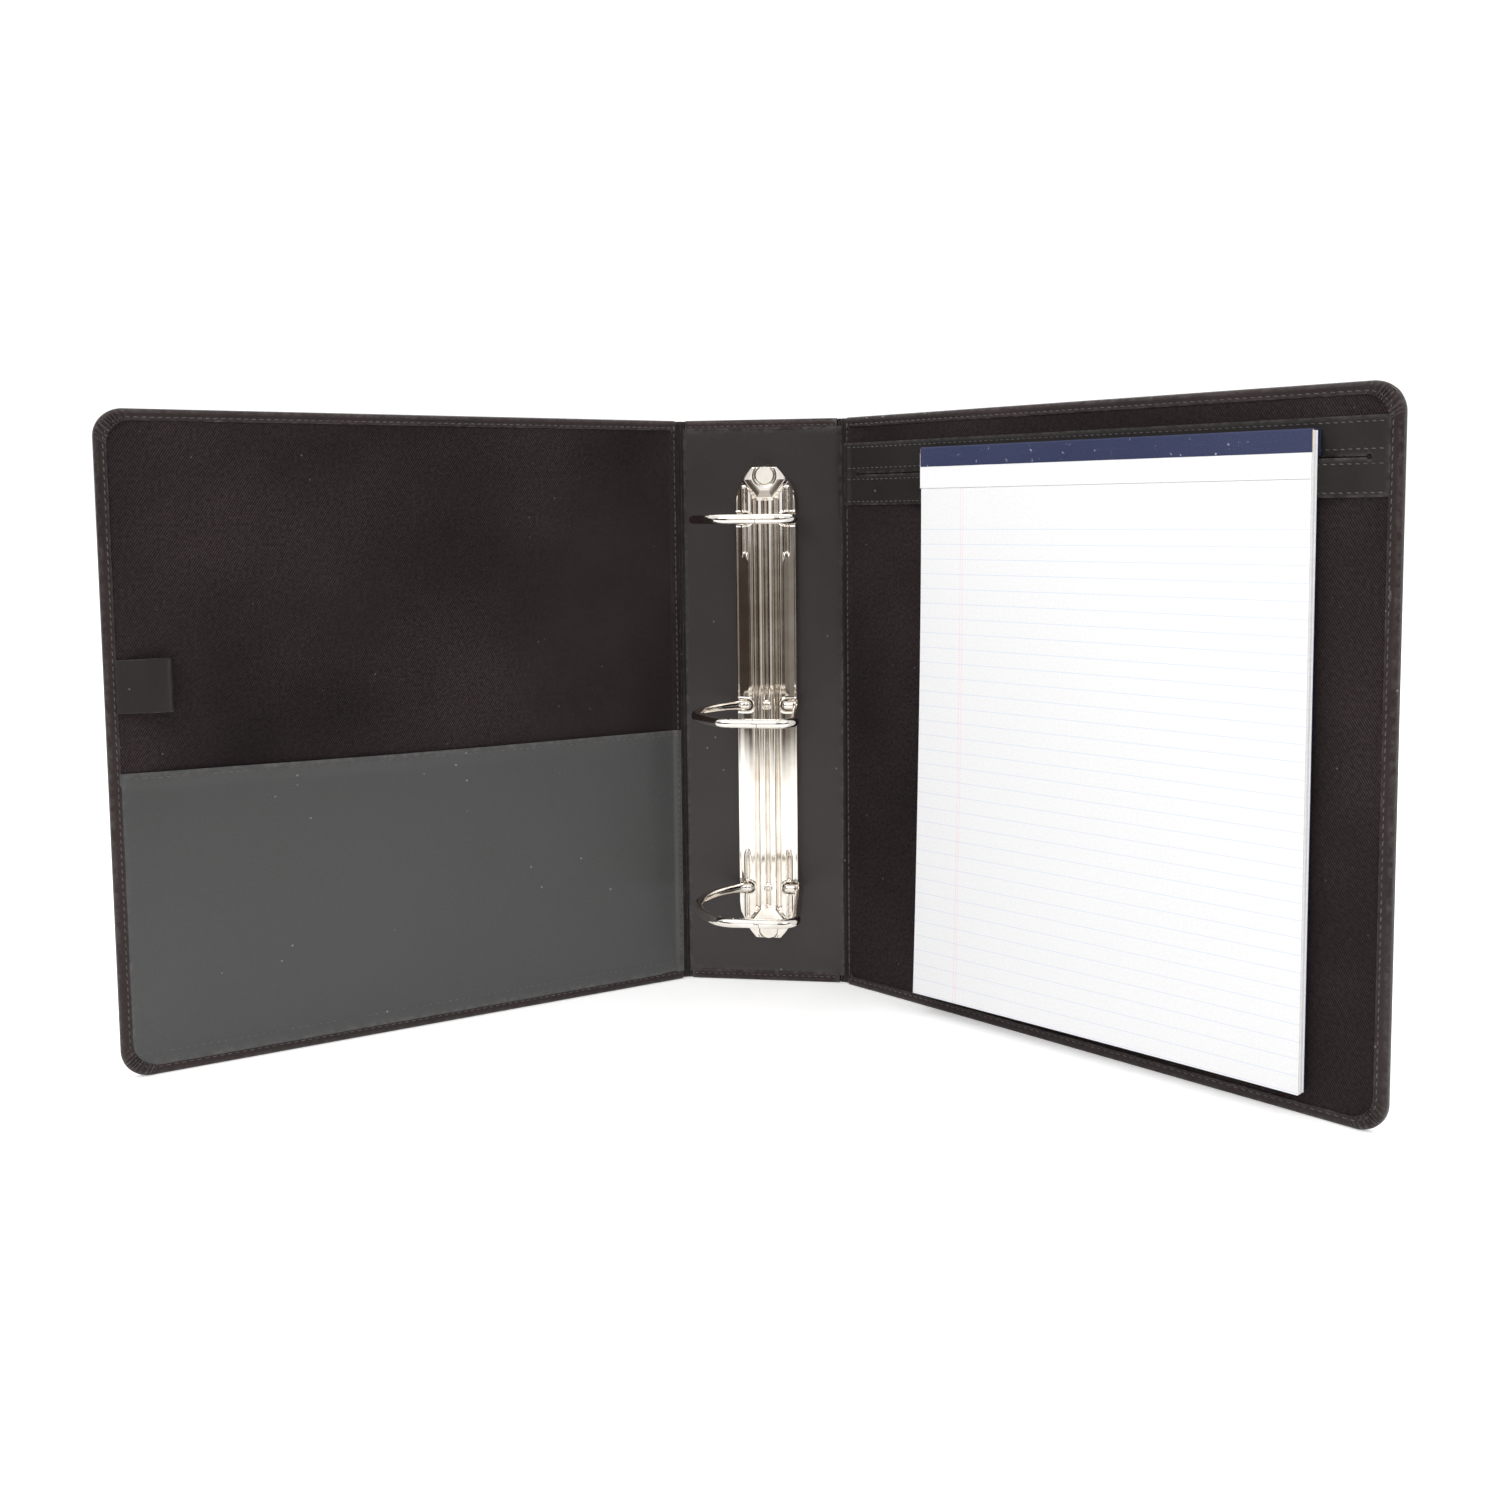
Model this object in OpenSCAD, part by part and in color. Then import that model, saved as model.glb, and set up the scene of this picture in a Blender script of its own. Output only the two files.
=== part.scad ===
// Leather ring-binder portfolio case, standing open on its bottom edges.
// Origin: middle of the spine's bottom face. +Z up, +X to the right, readers stand on the -Y side.

/* [Case] */
// Height of the case
case_h = 331; // [280:1:400]
// Width of one cover, hinge edge to fore edge
cover_w = 314; // [262:1:380]
// Width of the spine panel
spine_w = 88; // [74:1:110]
// Thickness of the covers and of the spine
panel_t = 6; // [5:0.1:8]
// Width of leather left free to bend between spine and cover
hinge_gap = 7; // [6.8:0.1:10]
// Radius of the fore-edge corners
corner_r = 12; // [4:0.5:20]
// Angle of the left cover past flat
left_swing = 38; // [0:1:80]
// Angle of the right cover past flat
right_swing = 37; // [0:1:80]

/* [Layers] */
// Outer leather
skin_t = 1; // [0.8:0.1:1.4]
// Padding foam under the outer leather
foam_t = 1.2; // [0.6:0.1:1.6]
// Woven lining
lining_t = 0.5; // [0.3:0.1:0.8]
// Leather turned over the edge onto the lining
turn_t = 0.7; // [0.4:0.1:1]
// Width of the turned leather along the open edges
border_w = 8; // [6:0.5:12]
// Width of the turned leather along the hinge edge
hinge_border_w = 8; // [6:0.5:12]
// Width of the turned leather at the spine's top and bottom
spine_hem_w = 5.6; // [4:0.2:9]
// Radius of the rolled leather in each hinge
hinge_bead_r = 2.9; // [2:0.1:3]
// Thickness of the web that ties the rolled leather to the spine
hinge_web_t = 1.6; // [1:0.1:2.4]

/* [Pocket and pen loop] */
// Height of the document pocket above the border
pocket_h = 143.5; // [100:0.5:180]
// Thickness of the pocket leather
pocket_t = 1; // [0.8:0.1:1.5]
// Room for papers behind the pocket
pocket_gap = 0.7; // [0.5:0.1:3]
// Width of the pocket's sewn edges
pocket_seam_w = 5; // [3:0.5:8]
// Width of the pen loop, seam to fold
loop_w = 26.5; // [20:0.5:36]
// Height of the pen loop
loop_h = 26; // [15:0.5:40]
// Depth of the pen loop off the lining
loop_d = 8.6; // [8.2:0.1:12]
// Thickness of the loop leather
loop_t = 1.1; // [0.8:0.1:1.4]
// Distance from the cover's top edge to the loop
loop_drop = 122; // [60:1:160]

/* [Pad band] */
// Distance from the cover's top edge to the band
band_drop = 15; // [10:0.5:25]
// Height of the band above the slit
band_upper_h = 17.5; // [12:0.5:24]
// Height of the strap below the slit
strap_h = 17.5; // [12:0.5:24]
// Thickness of the band leather
band_t = 0.9; // [0.6:0.1:1.2]
// Distance from each end of the band to the slit
slit_margin = 3; // [2:0.5:6]

/* [Writing pad] */
// Distance from the hinge to the pad
pad_hinge_margin = 67.6; // [40:0.1:80]
// Distance from the pad to the fore edge
pad_fore_margin = 34; // [15:0.1:60]
// Distance from the pad's top to the cover's top
pad_top_margin = 20; // [18:0.1:21]
// Distance from the pad's bottom to the cover's bottom
pad_bottom_margin = 12.5; // [8:0.1:20]
// Thickness of the backing board
backing_t = 0.9; // [0.6:0.1:1.2]
// How far the backing board shows past the sheets
backing_lip = 0.8; // [0:0.1:2]
// Thickness of the sheet block
sheets_t = 5.3; // [3:0.1:10]
// Thickness of the loose top sheet
top_sheet_t = 0.25; // [0.2:0.05:0.4]
// Height of the binding tape
tape_h = 11.5; // [8:0.5:14]
// Thickness of the binding tape
tape_t = 0.4; // [0.3:0.1:0.6]
// Height of the stub strip under the tape
header_h = 12; // [8:0.5:16]
// Gap between neighbours that move past each other
slip = 0.3; // [0.3:0.05:0.6]

/* [Ring mechanism] */
// Width of the plate
plate_w = 36; // [32:0.5:42]
// Distance from the plate's ends to the case's ends
plate_end_margin = 27.5; // [20:0.5:40]
// Offset of the plate from the spine's centre line
plate_offset = 3.2; // [-6:0.1:6]
// Offset of the middle ring from mid height
ring_mid_offset = 0.5; // [-5:0.1:5]
// Distance from the plate's ends to the end rings
ring_end_dist = 30.05; // [28:0.05:45]
// Sheet thickness of the plate
plate_t = 1; // [0.8:0.1:1.2]
// Height of the central rib above the liner
rib_h = 8.4; // [8:0.1:10]
// Width of the central rib
rib_w = 11; // [9:0.1:14]
// Height of the end bosses above the liner
boss_h = 9.4; // [9:0.1:12]
// Wire radius of the rings
wire_r = 2.5; // [2:0.1:3]
// Depth of the rings, liner to the middle of the front bar
ring_d = 84.3; // [60:0.1:100]
// Distance from the ring's left side to the spine's edge
ring_left_margin = 13; // [8:0.1:20]
// Distance from the ring's front right corner to the spine's edge
ring_right_margin = 16.5; // [12:0.1:24]
// Distance from the plate's centre to the roots of the rings
root_x = 11.3; // [10:0.1:13]
// Corner radius at the front left of the rings
front_corner_r = 14; // [8:0.5:20]
// Corner radius at the front right of the rings
post_corner_r = 9; // [6:0.5:14]
// Bend radius of the left arm over the plate
arm_bend_r = 8; // [5:0.5:10]
// Bend radius at the foot of the right post
post_bend_r = 4; // [3:0.5:6]
// Place of the split in the front bar, from the plate's centre
split_x = 3.3; // [0:0.1:6]
// Overlap of the two ends at the split
lap_l = 2.4; // [1:0.1:4]
// Thickness of the carrier blades
blade_t = 1; // [0.8:0.1:1.4]
// Tilt of the closed carrier blades
blade_tilt = 6; // [3:0.5:7]
// Radius of the rivet shanks
rivet_r = 2.5; // [2:0.1:3]
// Radius of the rivet heads
rivet_head_r = 4.9; // [4:0.1:6]

/* [Hidden] */
$fn = 64;

// Cuts run this far past the faces that they open
past = 1;
leather = "#35302f";
lining_black = "#241f20";
grey_board = "#8a8278";
foam_grey = "#4a4a4c";
nickel = "#d9d6cf";
navy = "#2c3358";
paper_white = "#f7f7f4";

// Panel layers along Y, from the outer face to the inner face
hinge_x = spine_w / 2 + hinge_gap / 2;
skin_y = panel_t / 2;
foam_y = skin_y - skin_t;
board_y = foam_y - foam_t;
face_y = -panel_t / 2;
lining_front_y = face_y + turn_t;
lining_back_y = lining_front_y + lining_t;
panel_x0 = hinge_gap / 2;
panel_x1 = panel_x0 + cover_w;
window_x0 = panel_x0 + hinge_border_w;
window_x1 = panel_x1 - border_w;

// Pocket and loop
pocket_front_y = lining_front_y - pocket_gap - pocket_t;
loop_z1 = case_h - loop_drop;
loop_fold_r = loop_d / 2;

// Band and pad layers along Y, each one clear of the next
band_z1 = case_h - band_drop;
slit_z = band_z1 - band_upper_h;
strap_z0 = slit_z - strap_h;
band_front_y = lining_front_y - band_t;
backing_back_y = band_front_y - slip - tape_t;
backing_front_y = backing_back_y - backing_t;
strap_back_y = backing_front_y - slip;
strap_front_y = strap_back_y - band_t;
sheets_back_y = strap_front_y - slip;
sheets_front_y = sheets_back_y - sheets_t;
top_sheet_back_y = sheets_front_y - slip;
header_front_y = sheets_front_y - tape_t;
tape_front_y = header_front_y - tape_t;
pad_x0 = pad_hinge_margin;
pad_x1 = panel_x1 - pad_fore_margin;
pad_z0 = pad_bottom_margin;
pad_z1 = case_h - pad_top_margin;
bound_z = slit_z + slip;
header_z = pad_z1 - tape_h - header_h;
sheet_gap_z = 0.6;

// Ring mechanism: heights are measured from the liner towards the reader
ring_mid_z = case_h / 2 + ring_mid_offset;
plate_l = case_h - 2 * plate_end_margin;
plate_z0 = ring_mid_z - plate_l / 2;
plate_z1 = ring_mid_z + plate_l / 2;
ring_pitch = plate_l / 2 - ring_end_dist;
ring_zs = [ring_mid_z + ring_pitch, ring_mid_z, ring_mid_z - ring_pitch];
notch_r = wire_r + 0.65;
root_h = 7.6;
wing_h = rib_h - 1.1;
groove_h = rib_h - 1.7;
edge_h = rib_h - 2.5;
// Half widths of an end boss at its end, its widest place and its foot, and how far down they are
boss_x = [7.2, 14, 5];
boss_z = [0, 7.8, 19.7];
shoulder_x = 17.3;
shoulder_z = [15, 21];
nub_r = 2.25;
nub_sink = 0.6;
lance_x = 12.2;
lance_w = 1;
lance_above = [5, 17];
lance_below = [-19, -5];
recess_r = rivet_head_r + 0.7;
recess_d = 1.6;
rivet_head_t = 1.2;
rivet_cap_r = rivet_head_r + 0.6;
rivet_cap_h = 1.5;
rivet_end_dist = 5.4;
rivet_zs = [plate_z1 - rivet_end_dist, plate_z0 + rivet_end_dist];
pivot_x = plate_w / 2 - plate_t - 1.8;
blade_outer = 0.7;
pivot_h = 3.3;
blade_end_gap = boss_z[2] + 4;
blade_mid_gap = 0.5;
tenon_r = 1.6;
shoulder_h = 3.8;
tenon_end_h = 1.9;
split_gap = 0.3;
seam_ball = 0.05;

// Left arm: one large arc that meets the bend and the front corner without a kink
left_reach = spine_w / 2 - ring_left_margin + plate_offset;
arm_mid_h = (ring_d + root_h) / 2;
arm_run = 0.5;
arm_q = left_reach - root_x - arm_run;
arm_dh = arm_mid_h - root_h - arm_bend_r;
arm_r = (arm_q * arm_q + arm_dh * arm_dh - arm_bend_r * arm_bend_r) / (2 * (arm_q - arm_bend_r));
arm_x = arm_r - left_reach;
bend_x = -(root_x + arm_run);
bend_end_a = atan2(arm_dh, arm_x - bend_x);
corner_dh = ring_d - front_corner_r - arm_mid_h;
corner_dx = sqrt(pow(arm_r - front_corner_r, 2) - corner_dh * corner_dh);
corner_x = arm_x - corner_dx;
corner_a = atan2(corner_dh, corner_dx);

// Right half: a leaning straight post between two bends
post_foot_x = plate_w / 2 + 0.5;
post_top_x = spine_w / 2 - ring_right_margin - plate_offset;
post_rise = ring_d - root_h;
post_lean = atan2(post_top_x - post_foot_x, post_rise);
foot_t = post_bend_r * tan((90 - post_lean) / 2);
top_t = post_corner_r * tan((90 + post_lean) / 2);
post_l = post_rise / cos(post_lean) - foot_t - top_t;

// ---- shared helpers ----

// Block between two corners
module block(low, high) translate(low) cube(high - low);

// Flat piece between two depths, from an outline drawn in X and Z
module sheet(y_back, y_front)
    translate([0, y_back, 0]) rotate([90, 0, 0]) linear_extrude(y_back - y_front) children();

// Outline of a cover, drawn in by inset, with round fore-edge corners
module cover_outline(inset) {
    r = corner_r - inset;
    x0 = panel_x0 + inset;
    x1 = panel_x1 - inset;
    z1 = case_h - inset;
    translate([x0, inset]) square([x1 - r - x0, z1 - inset]);
    translate([x0, inset + r]) square([x1 - x0, z1 - inset - 2 * r]);
    for (z = [inset + r, z1 - r]) translate([x1 - r, z]) circle(r);
}

// A cover's own axes: X away from the hinge, -Y towards the reader
module left_cover_place()
    translate([-hinge_x, 0, 0]) rotate([0, 0, left_swing]) mirror([1, 0, 0]) children();
module right_cover_place()
    translate([hinge_x, 0, 0]) rotate([0, 0, -right_swing]) children();

// The ring mechanism's axes: X from the plate's centre, Y is the height off the liner
module plate_place() translate([plate_offset, lining_front_y, 0]) mirror([0, 1, 0]) children();

// ---- cover layers, the same on both sides ----

module cover_leather() difference() {
    sheet(skin_y, face_y) cover_outline(0);
    sheet(foam_y, lining_front_y) cover_outline(skin_t);
    block([window_x0, face_y - past, border_w], [window_x1, foam_y, case_h - border_w]);
}
module cover_foam() sheet(foam_y, board_y) cover_outline(skin_t);
module cover_board() sheet(board_y, lining_back_y) cover_outline(skin_t);
module cover_lining() sheet(lining_back_y, lining_front_y) cover_outline(skin_t);

module left_cover_board() color(grey_board) left_cover_place() cover_board();
module left_cover_foam() color(foam_grey) left_cover_place() cover_foam();
module left_cover_leather() color(leather) left_cover_place() cover_leather();
module left_cover_lining() color(lining_black) left_cover_place() cover_lining();
module right_cover_board() color(grey_board) right_cover_place() cover_board();
module right_cover_foam() color(foam_grey) right_cover_place() cover_foam();
module right_cover_leather() color(leather) right_cover_place() cover_leather();
module right_cover_lining() color(lining_black) right_cover_place() cover_lining();

// ---- left cover: document pocket and pen loop ----

module document_pocket() color(leather) left_cover_place() difference() {
    block([window_x0, pocket_front_y, border_w], [window_x1, lining_front_y, border_w + pocket_h]);
    block([window_x0 + pocket_seam_w, pocket_front_y + pocket_t, border_w + pocket_seam_w],
          [window_x1 - pocket_seam_w, lining_front_y + past, border_w + pocket_h + past]);
}

// Section of the loop: straight sides and a half-round fold
module loop_section(inset) {
    r = loop_fold_r - inset;
    fold_x = window_x1 - loop_w + loop_fold_r;
    translate([fold_x, lining_front_y - loop_fold_r]) circle(r);
    translate([fold_x, lining_front_y - loop_fold_r - r]) square([window_x1 - inset - fold_x, 2 * r]);
}

module pen_loop() color(leather) left_cover_place() translate([0, 0, loop_z1 - loop_h]) difference() {
    linear_extrude(loop_h) loop_section(0);
    translate([0, 0, -past]) linear_extrude(loop_h + 2 * past) loop_section(loop_t);
}

// ---- right cover: slotted band that the pad hangs on ----

module pad_band() color(leather) right_cover_place() difference() {
    union() {
        block([window_x0, band_front_y, strap_z0], [window_x1, lining_front_y, band_z1]);
        block([window_x0, strap_front_y, strap_z0], [window_x1, lining_front_y, slit_z]);
    }
    // The backing board's way down behind the strap
    block([window_x0 + slit_margin, strap_back_y, strap_z0 - past],
          [window_x1 - slit_margin, lining_front_y + past, slit_z]);
}

// ---- writing pad ----

module pad_backing_board() color(navy) right_cover_place()
    block([pad_x0, backing_front_y, pad_z0 - backing_lip], [pad_x1 + backing_lip, backing_back_y, pad_z1]);

module pad_sheets() color(paper_white) right_cover_place() {
    block([pad_x0, sheets_front_y, pad_z0], [pad_x1, sheets_back_y, pad_z1]);
    block([pad_x0, sheets_back_y, bound_z], [pad_x1, backing_front_y, pad_z1]);
}

module pad_binding_tape() color(navy) right_cover_place() difference() {
    block([pad_x0, tape_front_y, pad_z1 - tape_h], [pad_x1, backing_back_y + tape_t, pad_z1 + tape_t]);
    block([pad_x0 - past, header_front_y, pad_z1 - tape_h - past], [pad_x1 + past, backing_back_y, pad_z1]);
}

module pad_header_strip() color(paper_white) right_cover_place()
    block([pad_x0, header_front_y, header_z], [pad_x1, sheets_front_y, pad_z1]);

module pad_top_sheet() color(paper_white) right_cover_place()
    block([pad_x0, top_sheet_back_y - top_sheet_t, pad_z0],
          [pad_x1, top_sheet_back_y, header_z - sheet_gap_z]);

// ---- spine ----

module rivet_holes() for (z = rivet_zs)
    translate([plate_offset, 0, z]) rotate([90, 0, 0]) cylinder(r = rivet_r, h = 4 * panel_t, center = true);

module spine_layer(y_back, y_front) difference() {
    block([-spine_w / 2, y_front, skin_t], [spine_w / 2, y_back, case_h - skin_t]);
    rivet_holes();
}

module spine_board() color(grey_board) spine_layer(board_y, lining_back_y);
module spine_foam() color(foam_grey) spine_layer(foam_y, board_y);
module spine_liner() color(leather) spine_layer(lining_back_y, lining_front_y);

module spine_leather() color(leather) difference() {
    block([-spine_w / 2, face_y, 0], [spine_w / 2, skin_y, case_h]);
    block([-spine_w, lining_front_y, skin_t], [spine_w, foam_y, case_h - skin_t]);
    block([-spine_w, face_y - past, spine_hem_w], [spine_w, foam_y, case_h - spine_hem_w]);
    rivet_holes();
}

// Rolled leather around a hinge line, with its web to the spine
module hinge_leather() {
    cylinder(r = hinge_bead_r, h = case_h);
    block([-panel_x0, -hinge_web_t / 2, 0], [0, hinge_web_t / 2, case_h]);
}
module left_hinge_leather() color(leather) translate([-hinge_x, 0, 0]) mirror([1, 0, 0]) hinge_leather();
module right_hinge_leather() color(leather) translate([hinge_x, 0, 0]) hinge_leather();

// ---- ring mechanism ----

// Section of the plate: folded edges, flat wings, grooves and a ribbed middle
module plate_section() {
    edge = plate_w / 2;
    rib = rib_w / 2;
    ridge = 1.2;
    valley = 0.6;
    lip = 1;
    outer = [[0, rib_h], [ridge, rib_h], [ridge + valley, rib_h - valley], [ridge + 2 * valley, rib_h],
             [rib - lip, rib_h], [rib, groove_h], [rib + lip, wing_h], [edge - plate_t, edge_h],
             [edge, edge_h - lip], [edge, 0]];
    inner = [[edge - plate_t, 0], [edge - plate_t, edge_h - plate_t], [rib + lip, wing_h - plate_t],
             [rib - plate_t / 4, groove_h - plate_t], [rib - lip - valley, rib_h - plate_t - valley / 2],
             [0, rib_h - plate_t - valley / 2]];
    for (m = [0, 1]) mirror([m, 0]) polygon(concat(outer, inner));
}

// Outline of the plate, one quarter drawn four times, with tapered ends
module plate_outline() {
    half = plate_l / 2;
    for (mx = [0, 1], mz = [0, 1]) mirror([mx, 0]) mirror([0, mz])
        polygon([[0, 0], [plate_w / 2, 0], [plate_w / 2, half - shoulder_z[1]],
                 [shoulder_x, half - shoulder_z[0]], [boss_x[1], half - boss_z[1]], [boss_x[0], half], [0, half]]);
}

module boss_outline() for (m = [0, 1]) mirror([m, 0])
    polygon([[0, -boss_z[2]], [boss_x[2], -boss_z[2]], [boss_x[1], -boss_z[1]],
             [boss_x[0], boss_z[0]], [0, 0]]);

// Round-ended cut through the plate, from one place to another along Z
module lance(x, z0, z1, w) {
    block([x - w / 2, 0, z0], [x + w / 2, 2 * rib_h, z1]);
    for (z = [z0, z1]) translate([x, 0, z]) rotate([-90, 0, 0]) cylinder(d = w, h = 2 * rib_h);
}

module ring_notch(side) {
    translate([side * root_x, 0, 0]) rotate([-90, 0, 0]) cylinder(r = notch_r, h = 2 * rib_h);
    block([side > 0 ? root_x : -plate_w, -past, -notch_r],
          [side > 0 ? plate_w : -root_x, 2 * rib_h, notch_r]);
}

module ring_plate() color(nickel) plate_place() difference() {
    union() {
        intersection() {
            translate([0, 0, plate_z0]) linear_extrude(plate_l) plate_section();
            translate([0, 0, ring_mid_z]) sheet(2 * rib_h, -past) plate_outline();
        }
        translate([0, 0, plate_z1]) sheet(boss_h, 0) boss_outline();
        translate([0, 0, plate_z0]) mirror([0, 0, 1]) sheet(boss_h, 0) boss_outline();
        for (z = ring_zs) translate([0, rib_h - nub_sink, z]) sphere(nub_r);
    }
    for (z = ring_zs, side = [-1, 1]) translate([0, 0, z]) ring_notch(side);
    for (z = [ring_zs[0], ring_zs[2]], side = [-1, 1], span = [lance_above, lance_below])
        lance(side * lance_x, z + span[0], z + span[1], lance_w);
    for (z = rivet_zs) translate([0, 0, z]) rotate([-90, 0, 0]) {
        translate([0, 0, -past]) cylinder(r = rivet_r, h = 2 * boss_h);
        translate([0, 0, boss_h - recess_d]) cylinder(r = recess_r, h = 2 * recess_d);
    }
}

// Shallow cap cut from a ball, standing on the origin
module dome(r, h) {
    ball_r = (r * r + h * h) / (2 * h);
    intersection() {
        cylinder(r = 2 * r, h = 2 * h);
        translate([0, 0, h - ball_r]) sphere(ball_r);
    }
}

// Rivets through bosses and spine: flat head in the recess, domed cap on the back
module ring_rivets() color(nickel) for (z = rivet_zs)
    translate([plate_offset, 0, z]) rotate([90, 0, 0]) {
        head = boss_h - recess_d - lining_front_y;
        translate([0, 0, -skin_y]) cylinder(r = rivet_r, h = head + skin_y);
        translate([0, 0, head]) cylinder(r = rivet_head_r, h = rivet_head_t);
        translate([0, 0, -skin_y]) mirror([0, 0, 1]) dome(rivet_cap_r, rivet_cap_h);
    }

// Blade under one side of the plate, tilted about its outer edge
module carrier_blade() {
    z0 = plate_z0 + blade_end_gap;
    z1 = plate_z1 - blade_end_gap;
    difference() {
        translate([-pivot_x, pivot_h, 0]) rotate([0, 0, -blade_tilt])
            block([-blade_outer, -blade_t / 2, z0], [pivot_x - blade_mid_gap, blade_t / 2, z1]);
        for (z = ring_zs) translate([-root_x, -past, z]) rotate([-90, 0, 0]) cylinder(r = tenon_r, h = rib_h);
    }
}
module left_ring_carrier() color(nickel) plate_place() carrier_blade();
module right_ring_carrier() color(nickel) plate_place() mirror([1, 0, 0]) carrier_blade();

// Wire bend about Z, from one angle to another, with a ball that closes the seam at each end
module wire_arc(x, h, r, a0, a1) translate([x, h, 0]) {
    rotate([0, 0, a0]) rotate_extrude(angle = a1 - a0) translate([r, 0]) circle(wire_r);
    for (a = [a0, a1]) translate([r * cos(a), r * sin(a), 0]) sphere(wire_r + seam_ball);
}

// Straight wire that starts at a place and points along an angle
module wire_run(x, h, a, l)
    translate([x, h, 0]) rotate([0, 0, a]) rotate([0, 90, 0]) cylinder(r = wire_r, h = l);

// Root of a half ring: tenon in the blade, shoulder, and a ball where the wire turns
module wire_root(side) translate([side * root_x, 0, 0]) {
    translate([0, tenon_end_h, 0]) rotate([-90, 0, 0]) cylinder(r = tenon_r, h = shoulder_h - tenon_end_h);
    translate([0, shoulder_h, 0]) rotate([-90, 0, 0]) cylinder(r = wire_r, h = root_h - shoulder_h);
    translate([0, root_h, 0]) sphere(wire_r);
}

module left_half_ring() {
    wire_root(-1);
    wire_run(-root_x, root_h, 180, arm_run);
    wire_arc(bend_x, root_h + arm_bend_r, arm_bend_r, 180 + bend_end_a, 270);
    wire_arc(arm_x, arm_mid_h, arm_r, 180 - corner_a, 180 + bend_end_a);
    wire_arc(corner_x, ring_d - front_corner_r, front_corner_r, 90, 180 - corner_a);
    difference() {
        wire_run(corner_x, ring_d, 0, split_x + lap_l / 2 - corner_x);
        translate([split_x - lap_l / 2, ring_d - 2 * wire_r, -split_gap / 2])
            cube([2 * lap_l, 4 * wire_r, 2 * wire_r]);
    }
}

module right_half_ring() {
    foot_x = post_foot_x - foot_t;
    top_x = post_top_x - top_t;
    wire_root(1);
    wire_run(root_x, root_h, 0, foot_x - root_x);
    wire_arc(foot_x, root_h + post_bend_r, post_bend_r, -90, -post_lean);
    wire_run(post_foot_x + foot_t * sin(post_lean), root_h + foot_t * cos(post_lean), 90 - post_lean, post_l);
    wire_arc(top_x, ring_d - post_corner_r, post_corner_r, -post_lean, 90);
    difference() {
        wire_run(split_x - lap_l / 2 + split_gap, ring_d, 0, top_x - split_x + lap_l / 2 - split_gap);
        translate([split_x - lap_l, ring_d - 2 * wire_r, split_gap / 2 - 2 * wire_r])
            cube([1.5 * lap_l + split_gap, 4 * wire_r, 2 * wire_r]);
    }
}

module left_ring(i) color(nickel) plate_place() translate([0, 0, ring_zs[i]]) left_half_ring();
module right_ring(i) color(nickel) plate_place() translate([0, 0, ring_zs[i]]) right_half_ring();

spine_board();
spine_foam();
spine_leather();
spine_liner();
left_hinge_leather();
right_hinge_leather();
ring_plate();
ring_rivets();
left_ring_carrier();
left_ring(0);  // left_ring_top
left_ring(1);  // left_ring_middle
left_ring(2);  // left_ring_bottom
right_ring_carrier();
right_ring(0);  // right_ring_top
right_ring(1);  // right_ring_middle
right_ring(2);  // right_ring_bottom
left_cover_board();
left_cover_foam();
left_cover_leather();
left_cover_lining();
document_pocket();
pen_loop();
right_cover_board();
right_cover_foam();
right_cover_leather();
right_cover_lining();
pad_band();
pad_backing_board();
pad_sheets();
pad_binding_tape();
pad_header_strip();
pad_top_sheet();
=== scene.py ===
"""Ring binder portfolio case: two padded leather covers, a spine, a ring mechanism and a ruled pad.

Every length below is in millimetres in a panel's own flat frame (x from its hinge line, y through it
with the reader at minus y, z up) and becomes metres where a shape enters a mesh.
"""

import logging
import math
from dataclasses import dataclass, field
from enum import Enum

import bmesh
import bpy
import numpy as np
from mathutils import Euler, Matrix, Vector


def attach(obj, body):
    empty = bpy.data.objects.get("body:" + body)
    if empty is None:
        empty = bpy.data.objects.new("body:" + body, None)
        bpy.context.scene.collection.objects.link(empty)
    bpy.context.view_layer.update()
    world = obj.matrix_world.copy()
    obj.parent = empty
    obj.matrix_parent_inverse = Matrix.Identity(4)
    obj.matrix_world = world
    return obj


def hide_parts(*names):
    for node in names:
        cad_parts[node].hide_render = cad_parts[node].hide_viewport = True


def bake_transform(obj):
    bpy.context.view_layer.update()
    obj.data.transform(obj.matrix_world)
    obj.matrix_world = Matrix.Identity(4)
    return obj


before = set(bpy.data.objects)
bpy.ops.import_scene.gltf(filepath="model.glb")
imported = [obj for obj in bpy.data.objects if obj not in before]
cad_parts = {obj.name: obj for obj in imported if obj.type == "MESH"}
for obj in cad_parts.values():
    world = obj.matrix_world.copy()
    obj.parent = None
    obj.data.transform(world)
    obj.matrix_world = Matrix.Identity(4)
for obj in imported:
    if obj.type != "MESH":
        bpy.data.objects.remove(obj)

Array = np.ndarray
Node = bpy.types.Node
Socket = bpy.types.NodeSocket
MM = 0.001
OUT_FRONT = (0, -1, 0)
OUT_BACK = (0, 1, 0)
LOG = logging.getLogger("portfolio_case")


# ---- Shapes ----


class Side(Enum):
    """The two covers, by the side of the spine that they hang on."""

    LEFT = "left"
    RIGHT = "right"


@dataclass(frozen=True)
class Place:
    """Where a flat panel stands: its hinge line, its turn about the vertical, and which way x runs."""

    hinge_x: float = 0.0
    turn: float = 0.0
    mirrored: bool = False

    def world(self, points: Array) -> Array:
        """Mirrors x if asked, turns about z, then shifts to the hinge line.

        Args:
            points: Places in the panel's frame, (..., 3), in mm.
        Returns:
            The same places in the row frame, in metres.
        """
        x, y, z = points[..., 0], points[..., 1], points[..., 2]
        x = -x if self.mirrored else x
        c, s = math.cos(math.radians(self.turn)), math.sin(math.radians(self.turn))
        return MM * net(self.hinge_x + x * c - y * s, x * s + y * c, z)


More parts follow.
